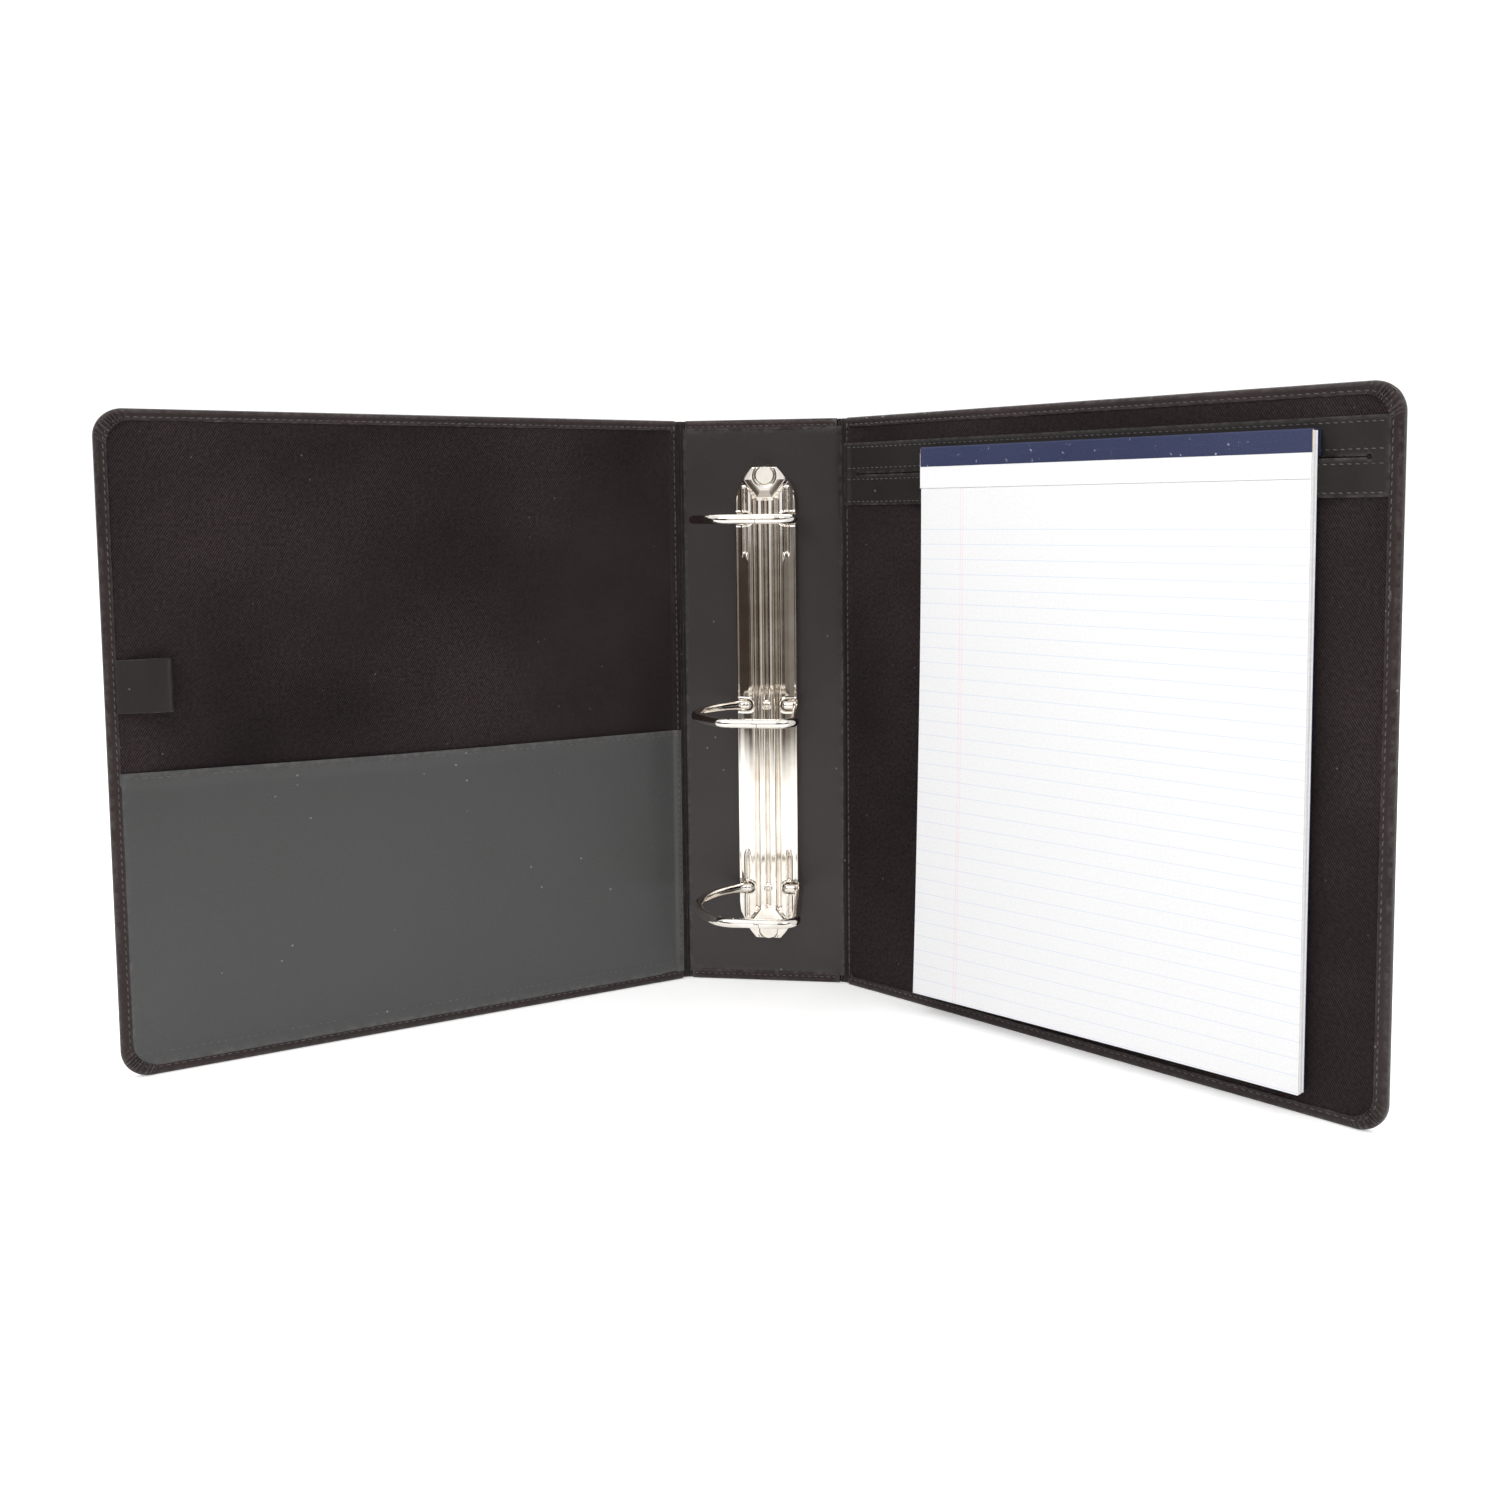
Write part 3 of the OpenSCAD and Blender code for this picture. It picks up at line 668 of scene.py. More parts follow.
@dataclass
class Panel:
    """One padded cover: a leather skin turned over its edges, its twill lining, and their seams."""

    side: Side
    place: Place
    x0: float = 3.5
    x1: float = 317.5
    height: float = 331.0
    half: float = 3.0
    corner_r: float = 14.0
    hinge_corner_r: float = 1.6
    border: float = 5.8
    hinge_extra: float = -1.6
    seam_inset: float = 4.2
    skin_t: float = 0.6
    lap_x: float = 21.0
    edge_r: float = 2.2
    edge_y: float = 0.8
    lining_inset: float = 4.6
    folds: int = 10
    corner_steps: int = 56
    edge_step: float = 1.4

    @property
    def body(self) -> str:
        """The body that the cover is."""
        return f"{self.side.value}_cover"

    def outline(self, inset: float) -> tuple[Array, Array]:
        """The cover's edge line moved inwards: four corner arcs joined by straight runs.

        Each arc keeps its centre while its radius shrinks with the inset, down to a small one, so that
        lines at different insets have the same number of points and match one to one.

        Args:
            inset: Distance inwards from the edge, in mm.
        Returns:
            (N, 2) x and z, and (N,) how far round a fore-edge corner each point is, or -1 elsewhere.
        """
        widen = float(smooth(np.array((inset - 2.4) / 1.6)))
        x0, x1 = self.x0 + inset + self.hinge_extra * widen, self.x1 - inset
        z0, z1 = inset, self.height - inset
        big = self.corner_r - 0.45 * inset
        small = max(self.hinge_corner_r - inset, 0.3)
        corners = [
            (x1 - big, z0 + big, big, -90, 0, True), (x1 - big, z1 - big, big, 0, 90, True),
            (x0 + small, z1 - small, small, 90, 180, False),
            (x0 + small, z0 + small, small, 180, 270, False)
        ]
        runs = (
            [
                round((self.height - 2 * self.corner_r) / self.edge_step),
                round((self.x1 - self.x0) / self.edge_step)
            ]
            * 2
        )
        points, rounds = [], []
        for n, (cx, cz, r, a0, a1, fore) in enumerate(corners):
            steps = self.corner_steps if fore else 6
            bend = arc(cx, cz, r, a0, a1, steps)
            points.append(bend)
            rounds.append(np.linspace(0, 1, steps) if fore else np.full(steps, -1.0))
            after = corners[(n + 1) % 4]
            start = arc(after[0], after[1], after[2], after[3], after[4], 2)[0]
            t = np.linspace(0, 1, runs[n] + 1)[1:-1, None]
            points.append(bend[-1] + (start - bend[-1]) * t)
            rounds.append(np.full(len(t), -1.0))
        return np.concatenate(points), np.concatenate(rounds)

    def skin_rows(self) -> list[tuple[float, float, float]]:
        """The skin's section as (scale, inset, y) rows: back face, round the edge, front border."""
        rows = [(k, 7.0, self.half + 0.35 * (1 - k**3)) for k in (0.0, 0.3, 0.6, 0.85, 0.96)]
        rows += [
            (1.0, self.seam_inset + i, self.half - d) for i,
            d in ((0.9, 0.0), (0.4, 0.03), (0.0, 0.14), (-0.4, 0.03), (-0.9, 0.0))
        ]
        for middle, a0, a1 in ((self.edge_y, 90, 0), (-self.edge_y, 0, -90)):
            rows += [(1.0, self.edge_r - x, y) for x, y in arc(0, middle, self.edge_r, a0, a1, 5)]
        b = self.border
        at = self.seam_inset
        rows += [
            (1.0, i, -y) for i,
            y in (
                (2.8, 3.0), (3.2, 3.0), (at - 0.5, 2.97), (at - 0.2, 2.87), (at, 2.83), (at + 0.2, 2.87),
                (at + 0.5, 2.98), (b - 0.6, 3.0), (b - 0.3, 2.97), (b - 0.08, 2.85), (b, 2.6),
                (b + 0.02, 2.34)
            )
        ]
        return rows

    def gather(self, inset: float, rounds: Array) -> Array:
        """Folds of the turned leather at the rounded corners: a sine round the corner that grows inwards."""
        grow = float(smooth(np.array((inset + 0.4) / 2.8)))
        inside = (rounds >= 0) * np.sin(np.pi * np.clip(rounds, 0, 1)) ** 0.4
        return (
            -0.85 * grow * inside
            * (0.5 + 0.5 * np.sin(2 * np.pi * (self.folds * rounds + 0.35 * np.sin(11 * rounds)))) ** 1.6
        )

    def build_skin(self) -> None:
        """The skin: its section carried round the edge line, closed over the back at one point."""
        middle = np.array([(self.x0 + self.x1) / 2, self.height / 2])
        grid, flat = [], []
        for scale, inset, y in self.skin_rows():
            xz, rounds = self.outline(inset)
            xz = middle + (xz - middle) * scale
            depth = np.full(len(xz), y)
            if y < 0:
                lap = smooth(
                    (self.lap_x + 0.3 * inset * np.sign(xz[:, 1] - middle[1]) - xz[:, 0]) / 1.6 + 0.5
                )
                depth = depth - 0.28 * lap * (inset > 0) + self.gather(inset, rounds)
            grid.append(net(xz[:, 0], depth, xz[:, 1]))
            flat.append(xz)
        shape = Shape.grid(np.array(grid), np.array(flat), loop_cols=True)
        node = f"{self.body}_leather"
        skin = piece(
            f"{self.body}_skin", shape, self.place, CASE_LEATHER, self.body, self.skin_t, replaces=(node,)
        )

    def build_lining(self) -> None:
        """The lining: a grid that swells gently towards the reader away from its edges."""
        x = np.concatenate([np.linspace(self.x0 + 0.3, 16, 26), np.linspace(18, self.x1 - 4.0, 100)])
        xx, zz = np.meshgrid(x, np.linspace(self.lining_inset, self.height - self.lining_inset, 110))
        swell = 0.16 * np.sin(xx / 41 + 1) * np.sin(zz / 53) + 0.1 * np.sin(xx / 17 + zz / 29)
        z0, z1 = zz[0, 0], zz[-1, 0]
        inside = (
            smooth((xx - x[0]) / 25) * smooth((x[-1] - xx) / 25) * smooth((zz - z0) / 25)
            * smooth((z1 - zz) / 25)
        )
        ends = 1.3 * np.maximum(smooth((6.2 - zz) / 1.2), smooth((zz - self.height + 6.2) / 1.2))
        depth = np.minimum(-2.3 - (0.12 + swell) * inside - hinge_rise(xx) + ends * (xx < 10), -2.2)
        points = net(xx, depth, zz)
        lining = piece(f"{self.body}_twill", Shape.grid(points), self.place, LINING, self.body, 0.4,
                       replaces=(f"{self.body}_lining",))

    def build_seams(self, extra: list[Shape]) -> None:
        """The threads: round the border on the inside, round the edge on the back, and any others given."""
        front, rounds = self.outline(self.seam_inset)
        lift = -2.9 - 0.05 * (rounds < 0)
        lap = 0.28 * smooth((self.lap_x - front[:, 0]) / 1.6 + 0.5)
        lift = lift - lap - 0.42 * (front[:, 0] < 6.4) + 0.5 * self.gather(self.seam_inset, rounds)
        rows = (net(front[:, 0], lift, front[:, 1]), OUT_FRONT), (
            net(front[:, 0], self.half, front[:, 1]), OUT_BACK
        )
        inner, outer = (stitches(np.concatenate([row, row[:1]]), out) for row, out in rows)
        piece(f"{self.body}_seams", inner.with_(outer, *extra), self.place, THREAD, self.body)

    def build(self) -> None:
        """Builds the parts that both covers have."""
        self.build_skin()
        self.build_lining()


@dataclass
class LeftCover(Panel):
    """The left cover with its document pocket and pen loop."""

    pocket_top: tuple[float, float] = (150.4, 153.2)
    loop_x: tuple[float, float] = (286.0, 312.4)
    loop_z: tuple[float, float] = (183.0, 209.3)
    hem: float = 5.8
    foot_rows: tuple[float, float] = (11.8, 15.0)

    def pocket_edge(self, x: Array) -> Array:
        """Height of the pocket's mouth: a straight line from the hinge side to the fore edge."""
        low, high = self.pocket_top
        return (
            low + (high - low) * (x - 11) / 298 - 0.8 * np.sin(np.pi * np.clip((x - 11) / 298, 0, 1)) ** 2
        )

    def pocket_depth(self, x: Array, share: Array) -> Array:
        """Distance of the pocket's face from the lining: nothing at the seams, a soft gape at the mouth."""
        sides = smooth((x - 5) / 22) * smooth((311 - x) / 22)
        sag = 0.5 * np.sin(x / 37) * np.sin(share * 3.1) + 0.35 * np.sin(x / 19 + share * 4)
        return 0.35 + sides * (0.55 + 0.85 * smooth(share) + 0.25 * sag)

    def build_pocket(self) -> list[Shape]:
        """The pocket: a leather sheet with a turned hem at its mouth; the seams are returned."""
        x = np.concatenate([np.linspace(4.4, 16.5, 20), np.linspace(19, 312.6, 120)])
        share = np.concatenate([np.linspace(0, 1, 60), [1.0]])
        turned = np.array([0.0] * 60 + [0.55])
        xx, ss = np.meshgrid(x, share)
        zz = 5.2 + (self.pocket_edge(xx) - 5.2) * ss
        past_hem = zz - self.pocket_edge(xx) + self.hem
        fold = 0.5 * bump(past_hem / 0.6)
        groove = 0.16 * sum(bump((zz - row) / 0.7) for row in self.foot_rows)
        hem = 0.3 * smooth(past_hem / 0.8)
        yy = (
            -2.45 - self.pocket_depth(xx, ss) - hem + 0.3 * fold + groove + turned[:, None]
            - hinge_rise(xx)
        )
        made = piece("document_pocket_leather", Shape.grid(net(xx, yy, zz)), self.place, SHEEN_POCKET_LEATHER,
                     self.body, 0.8, replaces=("document_pocket",))
        line, rise = np.linspace(6.3, 310.4, 200), np.linspace(6, 149, 120)
        rows = (
            (line, self.pocket_edge(line) - 2.7, 0.98, -2.8),
            (line, self.foot_rows[0], 0.035, -2.4),
            (np.full(120, 6.2), rise, rise / 150, -2.55),
        )
        return [
            stitches(net(x, y - self.pocket_depth(x, share) - hinge_rise(x), z), OUT_FRONT)
            for x, z, share, y in rows
        ]

    def build_loop(self) -> None:
        """The pen loop: a strip whose section runs out from the border, round a tight fold and back."""
        left, right = self.loop_x
        back = np.array([[right, -3.0], [right - 6, -3.1], [left + 6, -3.3]])
        bend = arc(left + 3.4, -6.6, 3.3, 90, 270, 14)
        front = np.array(
            [
                [left + 8, -9.6], [left + 13, -8.5], [right - 5.5, -5.2], [right - 1.5, -3.7],
                [right, -3.35]
            ]
        )
        rough = np.concatenate([back, bend, front])
        length = lengths(rough)
        s = np.linspace(0, length[-1], 64)
        section = net(*(np.interp(s, length, rough[:, k]) for k in (0, 1)))
        section[1:-1] = (section[:-2] + 2 * section[1:-1] + section[2:]) / 4
        z = np.concatenate(
            [
                [self.loop_z[0]], np.linspace(self.loop_z[0] + 0.5, self.loop_z[1] - 0.5, 12),
                [self.loop_z[1]]
            ]
        )
        points = carried(z, section)[..., [1, 2, 0]]
        flat = net(s, z[:, None])
        made = piece(
            "pen_loop_leather", Shape.grid(points, flat), self.place, SMOOTH_LEATHER, self.body, 0.9,
            replaces=("pen_loop",), rounding=0.15
        )

    def build(self) -> None:
        """Builds the cover, its pocket, its loop and all its seams."""
        super().build()
        seams = self.build_pocket()
        self.build_loop()
        self.build_seams(seams)


@dataclass
class RightCover(Panel):
    """The right cover with the slotted band that holds the pad's backing board."""

    slit_z: float = 298.5
    band_z: tuple[float, float] = (281.0, 316.3)
    slit_x: tuple[float, float] = (13.6, 303.4)
    hole_r: float = 1.25
    pad_x: tuple[float, float] = (67.6, 284.4)

    def band_depth(self, x: Array, z: Array) -> Array:
        """Distance of the band's face from the lining: the strap rises over the backing board it holds."""
        under = smooth((x - self.pad_x[0] + 26) / 26) * smooth((self.pad_x[1] + 15 - x) / 15)
        strap = smooth((self.slit_z + 0.01 - z) / 0.2)
        return 0.65 + 2.95 * under * strap + 0.12 * np.sin(x / 23) + hinge_rise(x)

    def slit_edge(self, x: Array) -> Array:
        """Half width of the slit: a hair along its length and a round hole at each end."""
        holes = [np.sqrt(np.clip(self.hole_r**2 - (x - end) ** 2, 0, None)) for end in self.slit_x]
        open_ = 0.32 * smooth((x - self.slit_x[0]) / 1) * smooth((self.slit_x[1] - x) / 1)
        return np.maximum(np.maximum(holes[0], holes[1]), open_)

    def build_band(self) -> list[Shape]:
        """The band: one leaf above the slit and the strap below it; the seams are returned."""
        ends = [np.linspace(e - 1.6, e + 1.6, 17) for e in self.slit_x]
        x = np.sort(
            np.concatenate(
                [
                    np.linspace(4.4, 11.9, 14), ends[0], np.linspace(15.5, 301.5, 130), ends[1],
                    np.linspace(305.2, 312.6, 6)
                ]
            )
        )
        leaves = []
        for low, high in ((self.slit_z, self.band_z[1]), (self.band_z[0], self.slit_z)):
            t = np.linspace(0, 1, 16)[:, None]
            z0 = low + (self.slit_edge(x) if low == self.slit_z else 0)
            z1 = high - (self.slit_edge(x) if high == self.slit_z else 0)
            zz = z0 + (z1 - z0) * t
            edge = 0.18 * (bump((zz - z0) / 0.35) + bump((z1 - zz) / 0.35))
            level = self.slit_z - 1 if high == self.slit_z else self.slit_z + 1
            leaves.append(Shape.grid(net(x, -2.4 - self.band_depth(x, level) + edge, zz)))
        made = piece(
            "pad_band_leather", leaves[0].with_(leaves[1]), self.place, SMOOTH_LEATHER, self.body, 0.8,
            replaces=("pad_band",)
        )
        line = np.linspace(6.2, 310.4, 240)
        rows = (self.band_z[1] - 2.7, self.slit_z + 3.4, self.slit_z - 3.0, self.band_z[0] + 2.0)
        return [stitches(net(line, -2.45 - self.band_depth(line, z), z), OUT_FRONT, 3.4, 2.1) for z in rows]

    def build(self) -> None:
        """Builds the cover, its band and all its seams."""
        super().build()
        self.build_seams(self.build_band())


# ---- Spine and hinges ----


@dataclass
class Spine:
    """The stiff spine: its skin turned over top and bottom, its smooth liner, hems and hinge folds."""

    half_w: float = 44.0
    height: float = 331.0
    half: float = 3.0
    hem: float = 5.8
    edge_r: float = 2.2
    edge_y: float = 0.8
    liner_inset: float = 4.6
    seam_inset: float = 3.7
    hinge_x: float = 47.5
    gap: float = 3.5
    blend_z: float = 165.0

    def build_skin(self) -> None:
        """The skin: a section in y and z, front hem, over the top, down the back and up to the lower hem."""
        middle, hem = self.height - self.edge_r, self.height - self.hem
        top = [
            arc(-self.edge_y, middle, self.edge_r, 180, 90, 6),
            arc(self.edge_y, middle, self.edge_r, 90, 0, 6)
        ]
        border = [[-2.35, hem], [-2.7, hem], [-2.95, hem + 0.3], [-3.0, self.height - 4.2],
                  [-2.88, self.height - self.seam_inset], [-3.0, self.height - 3.2]]
        upper = np.concatenate([border, *top])
        back = net(self.half, np.linspace(self.height - 3.4, 3.4, 22))
        back[1:-1, 0] += 0.2 * np.sin(np.linspace(0, np.pi, 20))
        lower = upper[::-1] * [1, -1] + [0, self.height]
        section = np.concatenate([upper, back, lower])
        x = np.linspace(-self.half_w, self.half_w, 60)
        points = carried(x, section)
        points[..., 1] -= 0.12 * np.sin(points[..., 0] / 7) * (points[..., 1] < -2.5)
        skin = piece(
            "spine_skin", Shape.grid(points[::-1]), Place(), CASE_LEATHER, "spine", 0.6,
            replaces=("spine_leather",)
        )

    def build_liner(self) -> None:
        """The liner: a smooth grid, dished a little beside the plate."""
        x = np.linspace(-self.half_w - 1.6, self.half_w + 2.9, 64)
        xx, zz = np.meshgrid(x, np.linspace(self.liner_inset, self.height - self.liner_inset, 120))
        wave = 0.1 * np.sin(zz / 31) * np.sin(xx / 14 + 1) * smooth((np.abs(xx - 3.2) - 18) / 8)
        curl = 0.5 * smooth((np.abs(xx) - self.half_w - 0.2) / 2.5)
        liner = piece(
            "spine_liner_leather", Shape.grid(net(xx, -2.3 - wave + curl, zz)), Place(), LINER_LEATHER,
            "spine", 0.4, replaces=("spine_liner",)
        )

    def build_hinge(self, cover: Panel) -> None:
        """A hinge fold: a closed section about the hinge line, rounded off at its ends.

        Section points are laid out with the cover flat, then each turns about the hinge line by a smooth
        share of the cover's angle in the pose that it stands in.
        """
        g = self.gap
        wide, tight = np.linspace(-1, 1, 15), np.linspace(-1, 1, 25)
        back = net(np.linspace(-g - 0.4, g + 0.4, 15), self.half - 0.75 * bump(wide / 0.55))
        under = np.array([[g + 0.4, 2.0], [g + 0.2, -1.0]])
        creased = -1.15 - 0.75 * np.cos(tight * np.pi / 2) ** 0.8 - 0.18 * np.cos(tight * np.pi * 3)
        bead = net(np.linspace(g, -g, 25), creased)
        section = np.concatenate([back, under, bead, under[::-1] * [-1, 1]])
        end_z, end_scale = np.array([0.4, 0.4, 0.6, 1.1, 1.9]), np.array([0.0, 0.8, 0.9, 0.97, 1])
        z = np.concatenate([end_z, np.linspace(4, self.height - 4, 50), self.height - end_z[::-1]])
        scale = np.concatenate([end_scale, np.ones(50), end_scale[::-1]])
        flat = section[None] * scale[:, None, None]
        flat = flat + 0.08 * np.sin(z / 13)[:, None, None] * [0, 1] * (section[:, 1:] < -1.5)
        sign = -1 if cover.side is Side.LEFT else 1
        turn = np.radians(cover.place.turn) * smooth((flat[..., 0] + g) / (2 * g))
        x, y = sign * flat[..., 0], flat[..., 1]
        c, s = np.cos(turn), np.sin(turn)
        points = net(sign * self.hinge_x + x * c - y * s, x * s + y * c, z[:, None])
        name = f"{cover.side.value}_hinge"
        fold = piece(
            f"{name}_fold", Shape.grid(points, loop_cols=True), Place(), SHADED_HINGE_LEATHER, "",
            replaces=(f"{name}_leather",)
        )
        end = cover.place.world(np.array([g, 0.0, self.blend_z]))
        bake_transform(fold)

    def build_seams(self) -> None:
        """The threads along both hems."""
        line = np.linspace(-self.half_w + 1, self.half_w - 1, 60)
        levels = (self.seam_inset, self.height - self.seam_inset)
        lower, upper = (stitches(net(line, -2.95, z), OUT_FRONT) for z in levels)
        piece("spine_seams", lower.with_(upper), Place(), THREAD, "spine")

    def build(self, covers: list[Panel]) -> None:
        """Builds the spine and a hinge fold for each cover."""
        self.build_skin()
        self.build_liner()
        self.build_seams()
        for cover in covers:
            self.build_hinge(cover)


# ---- Writing pad ----


@dataclass
class Pad:
    """The ruled pad: backing board, a block of pages, binding tape, stub strip and the loose top sheet."""

    place: Place
    x0: float = 66.4
    x1: float = 282.2
    z0: float = 12.5
    z1: float = 311.0
    lift: float = 6.0
    header_z: float = 289.8
    tear_gap: float = 0.6
    staples: tuple[float, ...] = (90.0, 136.0, 182.0, 228.0, 262.0)
    front_points: int = 20

    def warp(self, points: Array) -> Array:
        """Lifts the free lower hinge-side corner: a quarter bowl that grows away from the bound end."""
        x, z = points[..., 0], points[..., 2]
        across = np.clip((self.x1 - x) / (self.x1 - self.x0), 0, 1)
        down = np.clip((self.z1 - 30 - z) / (self.z1 - 30 - self.z0), 0, 1)
        rise = self.lift * down**1.6 * (0.12 + 0.88 * across**1.5)
        made = points.copy()
        made[..., 1] -= rise
        made[..., 0] -= 0.22 * rise * across
        return made

    def slab(self, x0: float, x1: float, z0: float, z1: float, sides: Array) -> Shape:
        """A closed slab: rings round its middle on the front, its side layers, rings on the back.

        Args:
            x0, x1, z0, z1: Its outline.
            sides: (N, 2) inset and y of each layer of its side, front to back.
        Returns:
            The surface.
        """
        nx, nz = 40, 56

        def ring(scale: float, inset: float, y: float) -> Array:
            """One rectangle, scaled about the slab's middle."""
            ax, bx, az, bz = x0 + inset, x1 - inset, z0 + inset, z1 - inset
            tx, tz = np.linspace(0, 1, nx, endpoint=False), np.linspace(0, 1, nz, endpoint=False)
            px = np.concatenate(
                [ax + (bx - ax) * tx, np.full(nz, bx), bx - (bx - ax) * tx, np.full(nz, ax)]
            )
            pz = np.concatenate(
                [np.full(nx, az), az + (bz - az) * tz, np.full(nx, bz), bz - (bz - az) * tz]
            )
            cx, cz = (x0 + x1) / 2, (z0 + z1) / 2
            return net(cx + (px - cx) * scale, y, cz + (pz - cz) * scale)

        scales = (0.0, 0.15, 0.3, 0.45, 0.6, 0.75, 0.87, 0.96)
        rows = [ring(s, sides[0, 0], sides[0, 1]) for s in scales]
        rows += [ring(1, i, y) for i, y in sides]
        rows += [ring(s, sides[-1, 0], sides[-1, 1]) for s in scales[::-1]]
        return Shape.grid(np.array(rows), loop_cols=True)

    def build_block(self) -> None:
        """The pages: each visible layer's edge is set in or out by a fixed hair, as a cut block's is."""
        draw = np.random.default_rng(7)
        y = np.linspace(-11.55, -6.35, 25)
        jitter = draw.uniform(0.0, 0.22, len(y))
        sides = net(np.repeat(jitter, 2)[1:-1], np.repeat(y, 2)[1:-1])
        sides[1:-1:2, 1] -= 0.04
        shape = self.slab(self.x0, self.x1, self.z0, self.z1 - 0.3, sides)
        shape.points = self.warp(shape.points)
        piece("pad_page_block", shape, self.place, PAGES, "writing_pad", sharp=30, replaces=("pad_sheets",))

    def build_backing(self) -> None:
        """The backing board: a thin slab with rounded edges that shows past the pages."""
        sides = np.array([[0.25, -4.8], [0.0, -4.55], [0.0, -4.15], [0.25, -3.9]])
        shape = self.slab(self.x0, self.x1 - 0.5, self.z0 - 0.8, self.z1 - 0.2, sides)
        bent = self.warp(shape.points)
        shape.points = shape.points + (bent - shape.points) * 0.9
        piece(
            "pad_backing_card", shape, self.place, BACKING, "writing_pad", replaces=("pad_backing_board",)
        )

    def build_tape(self) -> None:
        """The binding: a section in y and z that folds over the pad's top, pressed in where staples lie."""
        z1 = self.z1 + 0.35
        section = np.concatenate([[[-11.9, z1 - 10.4], [-12.3, z1 - 10.5], [-12.4, z1 - 9.6]],
                                  net(-12.4, np.linspace(z1 - 9, z1 - 1.2, 12)),
                                  arc(-11.5, z1 - 0.9, 0.9, 180, 90, 5), arc(-4.4, z1 - 0.9, 0.9, 90, 0, 5),
                                  [[-3.5, z1 - 3], [-3.5, z1 - 11.5], [-3.85, z1 - 11.8]]])
        x = np.linspace(self.x0 - 0.1, self.x1 + 0.1, 160)
        points = carried(x, section)
        front = points[..., 1] < -12.2
        for at in self.staples:
            press = bump((points[..., 0] - at) / 6.2, 8) * bump((points[..., 2] - z1 + 6.0) / 0.9, 4)
            points[..., 1] -= 0.22 * press * front
        points[..., 1] -= 0.06 * np.sin(points[..., 0] / 5.3) * np.sin(points[..., 2] / 2.1) * front
        length = lengths(section)
        flat = net(points[..., 0], length)
        front_leg = slice(0, self.front_points)
        core = Shape.grid(points[::-1, front_leg], flat[::-1, front_leg])
        middle = np.array([(self.x0 + self.x1) / 2, -8.0, z1 - 6.0])
        core.points = middle + (core.points - middle) * [1.0028, 0.955, 0.955]
        piece("pad_binding_core", core, self.place, KRAFT, "writing_pad", 0.15)
        made = piece(
            "pad_binding_cloth", Shape.grid(points[::-1], flat[::-1]), self.place, BOOK_CLOTH,
            "writing_pad", 0.3, replaces=("pad_binding_tape",)
        )

    def leaf(self, z0: float, z1: float, y: float, rows: int, past: float = 0.0) -> Shape:
        """One sheet of paper at a depth, on the pad's warp, with a slow ripple."""
        xx, zz = np.meshgrid(np.linspace(self.x0 - past, self.x1, 70), np.linspace(z0, z1, rows))
        ripple = 0.1 * np.sin(xx / 31) * np.sin(zz / 27) * smooth((z1 - zz) / 40)
        return Shape.grid(self.warp(net(xx, y - 0.05 + ripple * 0.4, zz)), net(xx, zz))

    def build_sheets(self) -> None:
        """The stub strip that stays on the pad, and the loose top sheet below its tear line."""
        stub = piece(
            "pad_stub_strip", self.leaf(self.header_z - 0.4, self.z1 - 3, -12.1, 12, 0.6), self.place,
            STUB, "writing_pad", 0.12, replaces=("pad_header_strip",)
        )
        sheet = piece(
            "pad_loose_sheet", self.leaf(self.z0, self.header_z - self.tear_gap, -11.95, 120), self.place,
            RULED, "", 0.1, replaces=("pad_top_sheet",)
        )
        ends = [
            self.place.world(np.array([175.0, -12.0, z]))
            for z in (self.header_z - self.tear_gap, self.header_z - 14)
        ]
        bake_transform(sheet)

    def build(self) -> None:
        """Builds the whole pad."""
        self.build_backing()
        self.build_block()
        self.build_tape()
        self.build_sheets()


# ---- Ring mechanism ----


